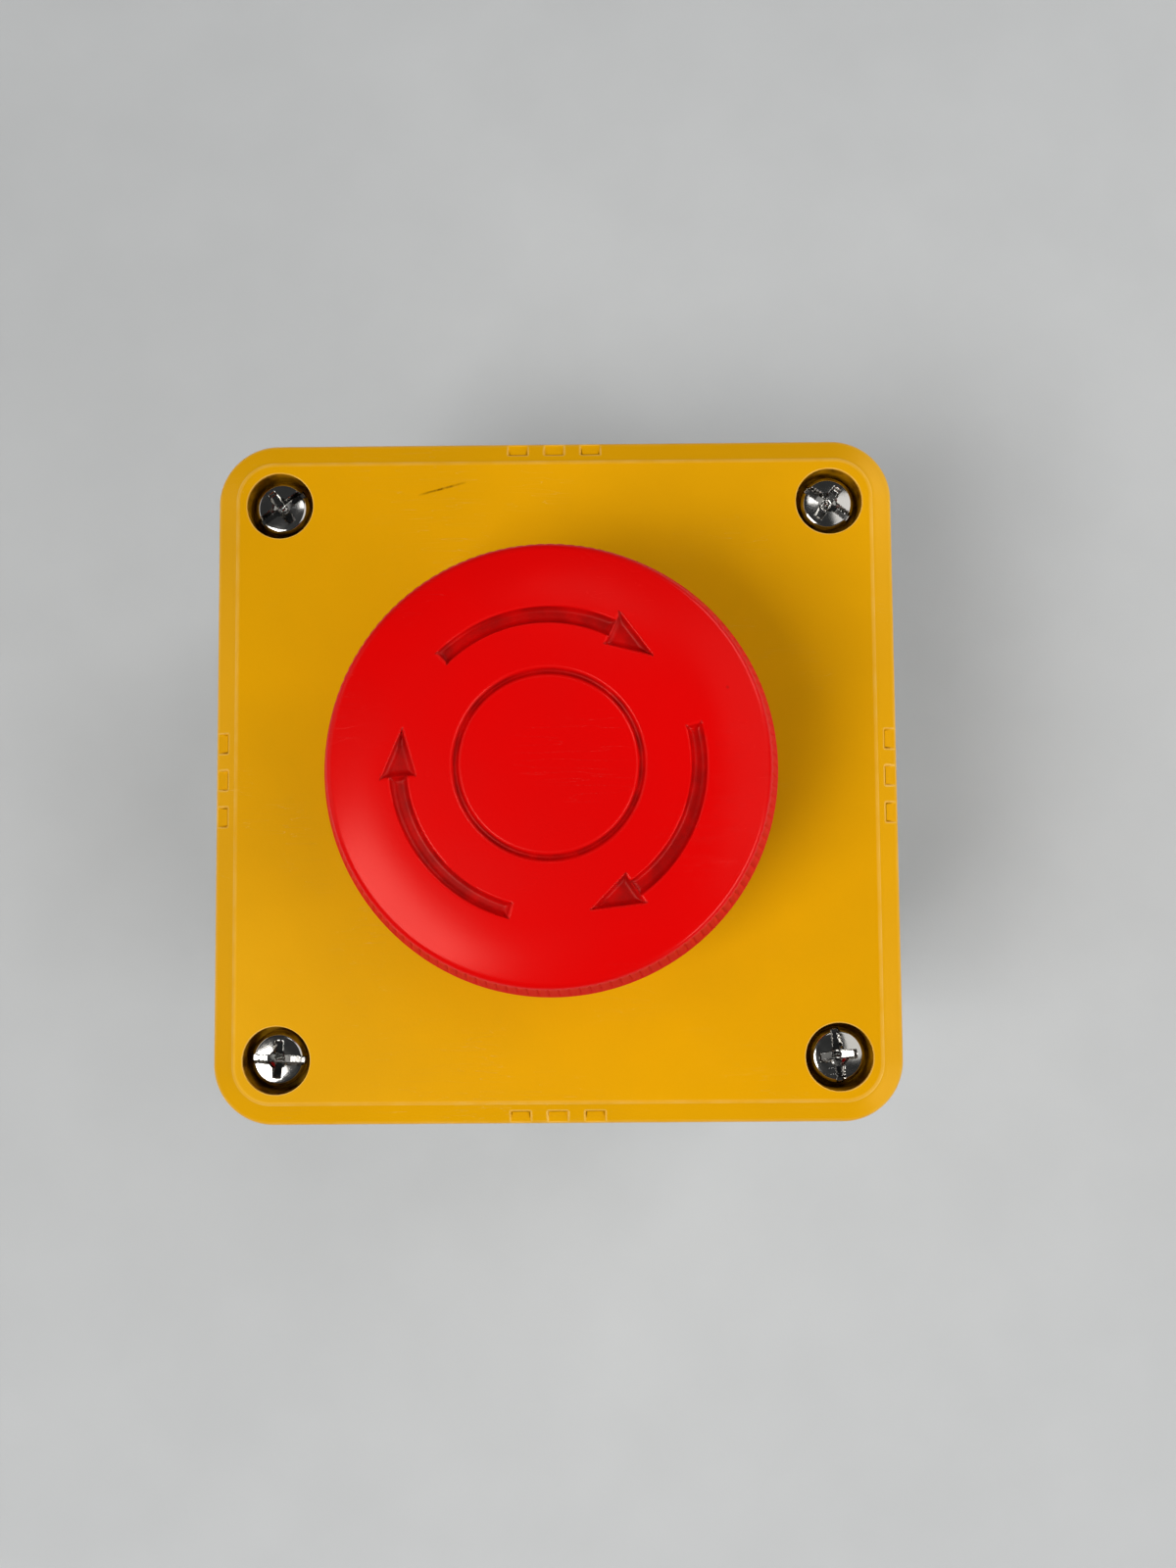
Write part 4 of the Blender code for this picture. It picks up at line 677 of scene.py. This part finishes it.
def make_screw(number, turn, material):
    """Pan head whose top falls with the square of the radius and ends in a round edge, cut by its drive, on
    a plain shank with a chamfered tip."""
    node = f"lid_screw_{number}"
    low, high = span(node)
    seat = high[2] - HEAD_RISE
    centre = screw_place(node)
    radii = np.linspace(0.0, HEAD_RADIUS - 0.01, 54)
    over = np.clip((radii - (HEAD_RADIUS - HEAD_EDGE)) / HEAD_EDGE, 0.0, 1.0)
    dome = HEAD_RISE - HEAD_DOME * (radii / HEAD_RADIUS) ** 2 - HEAD_EDGE * (1.0 - np.sqrt(1.0 - over**2))
    side = rounded(
        [
            (HEAD_RADIUS, dome[-1] - 0.12),
            (HEAD_RADIUS, 0.0),
            (SHANK, 0.0),
            (SHANK, low[2] - seat + 0.8),
            (SHANK - 0.5, low[2] - seat),
            (0.0, low[2] - seat),
        ],
        [0.15, 0.2, 0.2, 0.2],
        4,
    )
    grid = revolved(np.concatenate([np.stack([radii, dome], 1), side]), 168)
    rows = slice(0, len(radii))
    grid[rows, :, 2] -= drive_depth(grid[rows, :, 0], grid[rows, :, 1], dome[:, None])
    angle = math.radians(turn)
    spin = np.array([[math.cos(angle), math.sin(angle)], [-math.sin(angle), math.cos(angle)]])
    grid[..., :2] = grid[..., :2] @ spin + centre[:2]
    grid[..., 2] += seat

    def drive_shade(points):
        """Painted shade in the drive, growing from 0.2 to 0.7 mm under the head's surface."""
        away = np.hypot(points[:, 0] - centre[0], points[:, 1] - centre[1])
        sunk = high[2] - HEAD_DOME * (away / HEAD_RADIUS) ** 2 - points[:, 2]
        inside = (away < HEAD_RADIUS - HEAD_EDGE) * (sunk < DRIVE_DEEPEST)
        return DRIVE_SHADE * inside * smooth_step((sunk - 0.2) / 0.5)

    return new_piece(
        f"screw_skin_{number}",
        [grid],
        material,
        "station",
        node,
        sharp=45.0,
        added_dirt_and_shade=drive_shade,
    )


# ---------------------------------------------------------------- operating head
THREAD_DEPTH = 0.22


def make_head_body(material):
    """Flanged barrel with its web, every edge slightly rounded, and a coarse thread on the barrel: the radius
    swings with the height less the turn, as a helix does."""
    low, high = span("head_body")
    flange, top, end = high[0], high[2], low[2]
    bottom, barrel = top - 3.0, 10.95
    pocket, stem_hole, bore = 10.25, 5.4, 8.45
    web_top, web_low = top - 3.4, top - 4.4
    line = rounded_closed(
        [
            (barrel, end),
            (barrel, bottom),
            (flange, bottom),
            (flange, top - 1.0),
            (flange - 1.0, top),
            (pocket, top),
            (pocket, web_top),
            (stem_hole, web_top),
            (stem_hole, web_low),
            (bore, web_low),
            (bore, end),
        ],
        [0.4, 0.2, 0.2, 0.5, 0.5, 0.2, 0.3, 0.15, 0.15, 0.3, 0.3],
    )
    grid = revolved(filled(line, 0.25), 144)
    height = grid[..., 2]
    angle = np.arctan2(grid[..., 1], grid[..., 0])
    threaded = (height < bottom - 2.2) & (height > end + 0.6)
    outer = (np.hypot(grid[..., 0], grid[..., 1]) > barrel - 0.02) & threaded
    swing = 0.5 - 0.5 * np.cos(2.0 * math.pi * height - angle)
    grid[..., :2] *= (1.0 - np.where(outer, THREAD_DEPTH * swing, 0.0) / barrel)[..., None]
    return new_piece("head_skin", [grid], material, "station", "head_body")


def make_ring(name, node, inner, reach, material):
    """A washer with rounded edges that fills its CAD node's height and outer radius."""
    low, high = span(node)
    section = [(inner, low[2]), (high[0], low[2]), (high[0], high[2]), (inner, high[2])]
    grid = revolved(rounded_closed(section, reach), 120)
    return new_piece(name, [grid], material, "station", node)


def make_stem(material):
    """Shaft with its stop shoulder, latch groove and clip groove, all with rounded edges."""
    low, high = span("stem")
    bottom, top, shoulder = low[2], high[2], high[0]
    face = span("lid")[1][2]
    groove, radius = face - 7.9, 5.0
    clip_low, clip_high, clip_radius = 35.5, 36.5, 4.4
    line = rounded(
        [
            (0.0, bottom),
            (radius - 0.3, bottom),
            (radius - 0.3, clip_low),
            (clip_radius, clip_low),
            (clip_radius, clip_high),
            (radius, clip_high),
            (radius, groove - 0.7),
            (4.3, groove - 0.7),
            (4.3, groove + 0.7),
            (radius, groove + 0.7),
            (radius, face - 2.0),
            (shoulder, face - 2.0),
            (shoulder, face - 0.1),
            (radius, face - 0.1),
            (radius, top),
            (0.0, top),
        ],
        0.12,
        3,
    )
    grid = revolved(filled(line, 1.5), 96)
    return new_piece("stem_skin", [grid], material, "button", "stem")


# ---------------------------------------------------------------- springs
COIL_STEPS, WIRE_STEPS = 40, 14  # steps in one turn of the coil, and round its wire
SPRINGS = (  # node, coil radius, wire, turns, joint that presses it
    ("return_spring", 6.725, 0.8, 3.5, "head_press"),
    ("nc_spring", 2.1, 0.5, 4.5, "nc_plunger_press"),
    ("no_spring", 2.1, 0.5, 4.5, "no_plunger_press"),
)


def make_spring(node, coil, wire, turns, joint, material):
    """Coil spring: a round wire carried along a helix whose rise halts over the first and last half turn."""
    low, high = span(node)
    centre = (low + high) / 2
    t = np.linspace(0.0, 1.0, round(turns * COIL_STEPS))
    flat = 0.5 / turns
    rise = np.clip((t - flat) / (1.0 - 2.0 * flat), 0.0, 1.0)
    first, last = low[2] + wire / 2, high[2] - wire / 2
    angle = 2.0 * math.pi * turns * t
    out = np.stack([np.cos(angle), np.sin(angle), np.zeros_like(angle)], 1)
    line = coil * out + np.stack([centre[0] + 0 * t, centre[1] + 0 * t, first + (last - first) * rise], 1)
    ahead = np.gradient(line, axis=0)
    ahead /= np.linalg.norm(ahead, axis=1)[:, None]
    side = np.cross(ahead, out)
    turn = np.linspace(0.0, 2.0 * math.pi, WIRE_STEPS + 1)
    turn[-1] = 0.0
    ring = out[:, None] * np.cos(turn)[:, None] + side[:, None] * np.sin(turn)[:, None]
    thick = np.concatenate([[0.0], np.full(len(t), wire / 2), [0.0]])
    line = np.concatenate([line[:1], line, line[-1:]])
    ring = np.concatenate([ring[:1], ring, ring[-1:]])
    grid = line[:, None] + ring * thick[:, None, None]
    piece = new_piece(f"{node}_coil", [grid], material, "station", node)
    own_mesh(piece)


# ---------------------------------------------------------------- node tools
def make(tree, kind, inputs=None, **settings):
    """Adds a node. Settings are its properties; inputs are set on its sockets, or linked to them."""
    made = tree.nodes.new("ShaderNode" + kind)
    for name, value in settings.items():
        setattr(made, name, value)
    for key, value in (inputs or {}).items():
        if isinstance(value, bpy.types.NodeSocket):
            tree.links.new(value, made.inputs[key])
        else:
            made.inputs[key].default_value = value
    return made


def sums(tree, operation, first, second):
    return make(tree, "Math", {0: first, 1: second}, operation=operation).outputs[0]


def between(tree, value, low, high, to_low=0.0, to_high=1.0):
    """Value carried evenly from low..high to to_low..to_high, and held at the ends."""
    ends = {"From Min": low, "From Max": high, "To Min": to_low, "To Max": to_high}
    return make(tree, "MapRange", {"Value": value, **ends}).outputs[0]


def blended(tree, share, first, second):
    """Two colours mixed. A share of 1 gives the second."""
    made = make(tree, "Mix", data_type="RGBA")
    for key, value in ((0, share), (6, first), (7, second)):
        if isinstance(value, bpy.types.NodeSocket):
            tree.links.new(value, made.inputs[key])
        else:
            made.inputs[key].default_value = (*value, 1.0) if key else value
    return made.outputs[2]


def new_group(name, inputs, outputs):
    """An empty node group with vector inputs, named value outputs and its two end nodes."""
    tree = bpy.data.node_groups.new(name, "ShaderNodeTree")
    for label in inputs:
        tree.interface.new_socket(label, in_out="INPUT", socket_type="NodeSocketVector")
    for label in outputs:
        tree.interface.new_socket(label, in_out="OUTPUT", socket_type="NodeSocketFloat")
    return tree, tree.nodes.new("NodeGroupInput"), tree.nodes.new("NodeGroupOutput")


def noise(tree, place, scale, detail=2.0, stretch=None, angle=0.0):
    if stretch:
        turn = {"Vector": place, "Rotation": (0.0, 0.0, math.radians(angle)), "Scale": stretch}
        place = make(tree, "Mapping", turn).outputs[0]
    return make(tree, "TexNoise", {"Vector": place, "Scale": scale, "Detail": detail}).outputs["Fac"]


def handling_group():
    """What use leaves on any surface, each from 0 to 1: broad blotches some 15 mm wide, moulded grain of a
    quarter of a millimetre, sparse specks, and two crossing sets of fine scratches."""
    tree, start, end = new_group("handling", ["Place"], ["Blotch", "Grain", "Specks", "Scratches"])
    place = start.outputs["Place"]
    blotch = between(tree, noise(tree, place, 65.0, 3.0), 0.32, 0.68)
    tree.links.new(blotch, end.inputs["Blotch"])
    tree.links.new(noise(tree, place, 4200.0, 2.0), end.inputs["Grain"])
    cells = make(tree, "TexVoronoi", {"Vector": place, "Scale": 260.0})
    near = between(tree, cells.outputs["Distance"], 0.025, 0.055, 1.0, 0.0)
    chosen = make(tree, "SeparateColor", {0: cells.outputs["Color"]}).outputs[0]
    some = sums(tree, "GREATER_THAN", chosen, 0.86)
    tree.links.new(sums(tree, "MULTIPLY", near, some), end.inputs["Specks"])
    sets = []
    for angle, stretch in ((28.0, (1.0, 14.0, 1.0)), (-51.0, (1.0, 18.0, 1.0))):
        field = noise(tree, place, 120.0, 1.5, stretch, angle)
        away = sums(tree, "ABSOLUTE", sums(tree, "SUBTRACT", field, 0.5), 0.0)
        line = between(tree, away, 0.0, 0.004, 1.0, 0.0)
        patch = between(tree, noise(tree, place, 90.0 + angle, 1.0), 0.56, 0.66)
        sets.append(sums(tree, "MULTIPLY", line, patch))
    tree.links.new(sums(tree, "MAXIMUM", *sets), end.inputs["Scratches"])
    return tree


def bends_group():
    """Paling on outward bends, as rubbing and as painted highlight, and darkening in inward ones, as grime
    and as painted shade, from the points' own marks broken up by noise, and how dull the surface is."""
    tree, start, end = new_group("bends", ["Place"], ["WearAndHighlight", "DirtAndShade", "Matt"])
    broken = noise(tree, start.outputs["Place"], 420.0, 4.0)
    for mark, label, low, high in (("edge", "WearAndHighlight", 0.4, 2.8), ("hollow_and_shade", "DirtAndShade", 0.6, 2.8)):
        bend = make(tree, "Attribute", attribute_name=mark).outputs["Fac"]
        strong = between(tree, bend, low, high)
        share = between(tree, broken, 0.30, 0.62, 0.35, 1.0)
        tree.links.new(sums(tree, "MULTIPLY", strong, share), end.inputs[label])
    tree.links.new(make(tree, "Attribute", attribute_name="matt").outputs["Fac"], end.inputs["Matt"])
    return tree


HANDLING, BENDS = handling_group(), bends_group()


def begin(name):
    """A material with the two shared groups fed by object coordinates, and its Principled shader."""
    material = bpy.data.materials.new(name)
    material.use_nodes = True
    tree = material.node_tree
    shader = tree.nodes["Principled BSDF"]
    place = make(tree, "TexCoord").outputs["Object"]
    groups = []
    for shared in (HANDLING, BENDS):
        group = tree.nodes.new("ShaderNodeGroup")
        group.node_tree = shared
        tree.links.new(place, group.inputs["Place"])
        groups.append(group.outputs)
    return material, tree, shader, place, *groups


def bumped(tree, shader, parts, distance):
    """Adds heights, each with its weight, and feeds them to the shader's normal through one bump."""
    total = 0.0
    for value, weight in parts:
        total = sums(tree, "ADD", sums(tree, "MULTIPLY", value, weight), total)
    bump = make(tree, "Bump", {"Height": total, "Distance": distance})
    tree.links.new(bump.outputs["Normal"], shader.inputs["Normal"])


def share_of(tree, value, amount):
    return sums(tree, "MULTIPLY", value, amount)


# ---------------------------------------------------------------- materials
SCUFF_PLACE, SCUFF_TURN = (-0.0112, 0.0291, 0.0), 0.26
# Metres that a height of 1 stands for in each finish's bump.
PLASTIC_BUMP, METAL_BUMP, RUBBER_BUMP, FLOOR_BUMP = 0.000012, 0.000006, 0.000015, 0.00001


def scuffed(tree, place):
    """One short dark scuff: a thin line along the x of turned coordinates, broken up by noise."""
    turned = {"Vector": place, "Location": SCUFF_PLACE, "Rotation": (0.0, 0.0, SCUFF_TURN)}
    local = make(tree, "Mapping", turned, vector_type="TEXTURE").outputs[0]
    parts = make(tree, "SeparateXYZ", {"Vector": local}).outputs
    along = between(tree, sums(tree, "ABSOLUTE", parts["X"], 0.0), 0.0008, 0.0026, 1.0, 0.0)
    beside = between(tree, sums(tree, "ABSOLUTE", parts["Y"], 0.0), 0.00004, 0.00016, 1.0, 0.0)
    broken = between(tree, noise(tree, place, 900.0, 3.0), 0.35, 0.55, 0.2, 1.0)
    return sums(tree, "MULTIPLY", sums(tree, "MULTIPLY", along, beside), broken)


def plastic(
    name,
    colour,
    worn_and_highlight_colour,
    dirt_and_shade_colour,
    roughness,
    grain=1.0,
    wear_and_highlight=0.5,
    dirt_and_shade_share=0.5,
    specks=0.5,
    gloss=0.4,
    tint=(1, 1, 1),
    scuff=0.0,
):
    """Moulded plastic: blotches shift its colour and roughness a little, grain and scratches its normal.
    Outward bends are painted paler, as rubbing and, on the lid, as a painted highlight; inward ones are
    painted darker, as grime and as painted shade in the screw wells and the cap's grooves."""
    material, tree, shader, place, marks, bends = begin(name)
    deep = tuple(0.82 * c for c in colour)
    base = blended(tree, share_of(tree, marks["Blotch"], 0.45), colour, deep)
    base = blended(tree, share_of(tree, marks["Grain"], 0.14), base, deep)
    # Outward bends mixed towards the paler colour: rubbing, and on the lid a painted highlight along its
    # edges.
    base = blended(tree, share_of(tree, bends["WearAndHighlight"], wear_and_highlight), base, worn_and_highlight_colour)
    # Inward bends mixed towards the dark colour: grime, and painted shade in the screw wells and the cap's
    # ring and arrows.
    base = blended(tree, share_of(tree, bends["DirtAndShade"], dirt_and_shade_share), base, dirt_and_shade_colour)
    base = blended(tree, share_of(tree, marks["Specks"], specks), base, dirt_and_shade_colour)
    base = blended(tree, share_of(tree, marks["Scratches"], 0.5 * wear_and_highlight), base, worn_and_highlight_colour)
    if scuff:
        base = blended(tree, share_of(tree, scuffed(tree, place), scuff), base, dirt_and_shade_colour)
    tree.links.new(base, shader.inputs["Base Color"])
    rough = between(tree, marks["Blotch"], 0.0, 1.0, roughness - 0.04, roughness + 0.05)
    rough = sums(tree, "ADD", rough, share_of(tree, marks["Scratches"], 0.12))
    rough = sums(tree, "ADD", rough, share_of(tree, bends["DirtAndShade"], 0.15))
    rough = sums(tree, "ADD", rough, share_of(tree, bends["Matt"], 0.5))
    tree.links.new(rough, shader.inputs["Roughness"])
    shader.inputs["Specular IOR Level"].default_value = gloss
    shader.inputs["Specular Tint"].default_value = (*tint, 1.0)
    wave = noise(tree, place, 45.0, 1.0)
    parts = [(marks["Grain"], 0.5 * grain), (wave, 6.0), (marks["Scratches"], -0.6)]
    bumped(tree, shader, parts, PLASTIC_BUMP)
    return material


def metal(name, colour, tarnish, roughness, brushed=1.0, dull=0.5):
    """Bare or plated metal: drawn lines stretched along the piece, tarnish in blotches and hollows, and the
    screws' drives painted nearly black as shade.
    """
    material, tree, shader, place, marks, bends = begin(name)
    base = blended(tree, share_of(tree, marks["Blotch"], dull), colour, tarnish)
    # Hollows mixed towards a tenth of the tarnish: tarnish, and painted shade in the screws' drives.
    base = blended(tree, share_of(tree, bends["DirtAndShade"], 0.8), base, tuple(0.1 * c for c in tarnish))
    base = blended(tree, share_of(tree, marks["Specks"], 0.7), base, tarnish)
    tree.links.new(base, shader.inputs["Base Color"])
    lines = noise(tree, place, 900.0, 2.0, (1.0, 1.0, 0.06))
    rough = between(tree, lines, 0.3, 0.7, roughness - 0.05, roughness + 0.10 * brushed)
    rough = sums(tree, "ADD", rough, share_of(tree, marks["Scratches"], 0.2))
    tree.links.new(rough, shader.inputs["Roughness"])
    shader.inputs["Metallic"].default_value = 1.0
    parts = [(lines, 0.6 * brushed), (marks["Grain"], 0.25), (marks["Scratches"], -0.8)]
    bumped(tree, shader, parts, METAL_BUMP)
    return material


def rubber(name):
    """Seal rubber: nearly black, dusty in blotches, with a soft skin."""
    material, tree, shader, _, marks, bends = begin(name)
    dust = share_of(tree, marks["Blotch"], 0.35)
    base = blended(tree, dust, (0.018, 0.018, 0.019), (0.055, 0.053, 0.050))
    base = blended(tree, share_of(tree, marks["Specks"], 0.8), base, (0.20, 0.19, 0.17))
    tree.links.new(base, shader.inputs["Base Color"])
    tree.links.new(between(tree, marks["Grain"], 0.2, 0.8, 0.62, 0.85), shader.inputs["Roughness"])
    bumped(tree, shader, [(marks["Grain"], 1.0), (bends["WearAndHighlight"], 0.5)], RUBBER_BUMP)
    return material


def make_materials():
    """One material for each of the record's slots, under the slot's name."""
    steel, grey = (0.62, 0.61, 0.58), (0.30, 0.30, 0.29)
    black, dust = (0.016, 0.016, 0.018), (0.10, 0.095, 0.085)
    made = [
        plastic(
            "lid_yellow",
            (0.84, 0.395, 0.0015),
            # Paler yellow of rubbed edges, also painting a highlight along the lid's edge.
            (0.95, 0.66, 0.20),
            # Dark brown of grime, also painting the shade in the screw wells.
            (0.045, 0.010, 0.001),
            0.36,
            grain=0.9,
            wear_and_highlight=0.45,
            dirt_and_shade_share=0.95,
            specks=0.45,
            gloss=0.30,
            tint=(1.0, 0.70, 0.08),
            scuff=0.75,
        ),
        plastic(
            "cap_red",
            (0.80, 0.0012, 0.0012),
            (0.93, 0.03, 0.025),
            # Dark red of grime, also painting the shade in the ring and arrows.
            (0.17, 0.001, 0.001),
            0.24,
            grain=0.75,
            wear_and_highlight=0.12,
            dirt_and_shade_share=0.70,
            specks=0.30,
            gloss=0.27,
            tint=(1.0, 0.36, 0.30),
        ),
        plastic("base_grey", (0.50, 0.51, 0.50), (0.72, 0.73, 0.71), (0.16, 0.15, 0.14), 0.46),
        plastic("head_black", black, dust, (0.05, 0.046, 0.04), 0.42, wear_and_highlight=0.5),
        plastic("block_housing", (0.085, 0.086, 0.092), dust, black, 0.48),
        plastic("stem_white", (0.70, 0.69, 0.63), (0.80, 0.79, 0.75), (0.32, 0.29, 0.22), 0.34),
        plastic("plunger_red", (0.52, 0.015, 0.012), (0.7, 0.2, 0.18), (0.14, 0.01, 0.01), 0.36),
        plastic("plunger_green", (0.012, 0.27, 0.07), (0.2, 0.5, 0.3), (0.01, 0.07, 0.02), 0.36),
        rubber("seal_rubber"),
        # Its tarnish, darkened in hollows, also paints the shade in the drives.
        metal("bright_screw", (0.66, 0.64, 0.60), (0.34, 0.32, 0.29), 0.13, brushed=0.3),
        metal("spring_steel", (0.42, 0.43, 0.45), (0.20, 0.20, 0.21), 0.28),
        metal("terminal_steel", steel, grey, 0.28),
        metal("bridge_silver", (0.80, 0.78, 0.73), (0.45, 0.40, 0.32), 0.24),
        metal("contact_brass", (0.76, 0.54, 0.22), (0.36, 0.22, 0.08), 0.27),
    ]
    return {material.name: material for material in made}


def finish_cad_nodes(materials):
    """Gives every CAD node the material of the slot that the record names for it."""
    for part in frame["record"]["subparts"]:
        node = frame["nodes"][part["node"]]
        for place in node.material_slots:
            place.material = materials[part["material_slot"]]


# ---------------------------------------------------------------- floor, light and camera
FLOOR_REACH, FLOOR_GAP = 1500.0, 0.05  # how far it goes each way, and how far it lies under the box


def make_floor():
    """Plain pale floor: a wide sheet under the box with a fine matt texture."""
    side = np.linspace(-FLOOR_REACH, FLOOR_REACH, 9)
    x, y = np.meshgrid(side, side)
    points, faces = weld([np.stack([x, y, np.full_like(x, -FLOOR_GAP)], -1)])
    mesh = bpy.data.meshes.new("floor")
    mesh.from_pydata((points * MM).tolist(), [], faces)
    material, tree, shader, _, marks, _ = begin("floor_paint")
    tone = blended(tree, share_of(tree, marks["Blotch"], 0.5), (0.60, 0.61, 0.61), (0.56, 0.57, 0.57))
    tree.links.new(tone, shader.inputs["Base Color"])
    shader.inputs["Roughness"].default_value = 0.75
    bumped(tree, shader, [(marks["Grain"], 1.0)], FLOOR_BUMP)
    mesh.materials.append(material)
    floor = bpy.data.objects.new("floor", mesh)
    bpy.context.scene.collection.objects.link(floor)


# Name, place, width and height in metres, power in watts. All face a point inside the box.
SOFT_LIGHTS = (
    ("key_light", (-0.23, -0.16, 0.46), (0.23, 0.23), 1.58),
    ("right_light", (0.48, -0.30, 0.30), (0.40, 0.05), 1.35),
    ("back_light", (0.46, 0.34, 0.30), (0.36, 0.08), 1.15),
    ("left_light", (-0.55, 0.10, 0.30), (0.50, 0.40), 0.6),
    ("high_light", (0.46, 0.10, 0.62), (0.55, 0.55), 0.9),
    ("top_light", (0.02, 0.16, 0.43), (0.07, 0.05), 0.03),
)
SURROUND = 0.04
LIGHT_AIM = (0.0, 0.0, 0.05)


def make_studio():
    """A strong soft light above the lower left, a wide one low on the left, two long ones low on the right,
    a wide one high on the right, a faint small one past the top edge, and a dim even surround. None is
    straight above, where the flat faces would mirror it."""
    for name, place, size, power in SOFT_LIGHTS:
        data = bpy.data.lights.new(name, "AREA")
        data.shape = "RECTANGLE"
        data.size, data.size_y = size
        data.energy = power
        light = bpy.data.objects.new(name, data)
        light.location = place
        light.rotation_euler = (Vector(LIGHT_AIM) - Vector(place)).to_track_quat("-Z", "Y").to_euler()
        light.visible_camera = False
        bpy.context.scene.collection.objects.link(light)
    world = bpy.data.worlds.new("surround")
    world.use_nodes = True
    background = world.node_tree.nodes["Background"]
    background.inputs["Color"].default_value = (0.92, 0.96, 1.0, 1.0)
    background.inputs["Strength"].default_value = SURROUND
    scene = bpy.context.scene
    scene.world = world
    scene.view_settings.view_transform = "Standard"
    scene.view_settings.look = "None"


CAMERA_PLACE = (0.0038, -0.0072, 0.1683)
CAMERA_AHEAD = (-0.0054, 0.0565, -0.9984)
CAMERA_RIGHT = (1.0, -0.0077, -0.0059)
CAMERA_LENS = 26.84


def make_camera():
    """A wide lens close above the button, nearly square on, leaning a little towards +Y."""
    data = bpy.data.cameras.new("camera")
    data.lens = CAMERA_LENS
    data.sensor_width = 36.0
    data.clip_start, data.clip_end = 0.005, 20.0
    camera = bpy.data.objects.new("camera", data)
    back = -Vector(CAMERA_AHEAD).normalized()
    up = back.cross(Vector(CAMERA_RIGHT)).normalized()
    right = up.cross(back)
    turn = Matrix((right, up, back)).transposed().to_4x4()
    camera.matrix_world = Matrix.Translation(CAMERA_PLACE) @ turn
    bpy.context.scene.collection.objects.link(camera)
    bpy.context.scene.camera = camera


for packed in bpy.data.materials:
    packed.name = "packed_" + packed.name
materials = make_materials()
make_base(materials["base_grey"])
make_lid(materials["lid_yellow"])
for number, turn in enumerate(SCREW_TURNS, 1):
    make_screw(number, turn, materials["bright_screw"])
make_cap(materials["cap_red"])
make_stem(materials["stem_white"])
make_head_body(materials["head_black"])
make_ring("head_seal_skin", "head_seal", HEAD_HOLE, 0.3, materials["seal_rubber"])
make_ring("stem_seal_skin", "stem_seal", 5.3, 0.25, materials["seal_rubber"])
for spring in SPRINGS:
    make_spring(*spring, materials["spring_steel"])
finish_cad_nodes(materials)
make_floor()
make_studio()
make_camera()
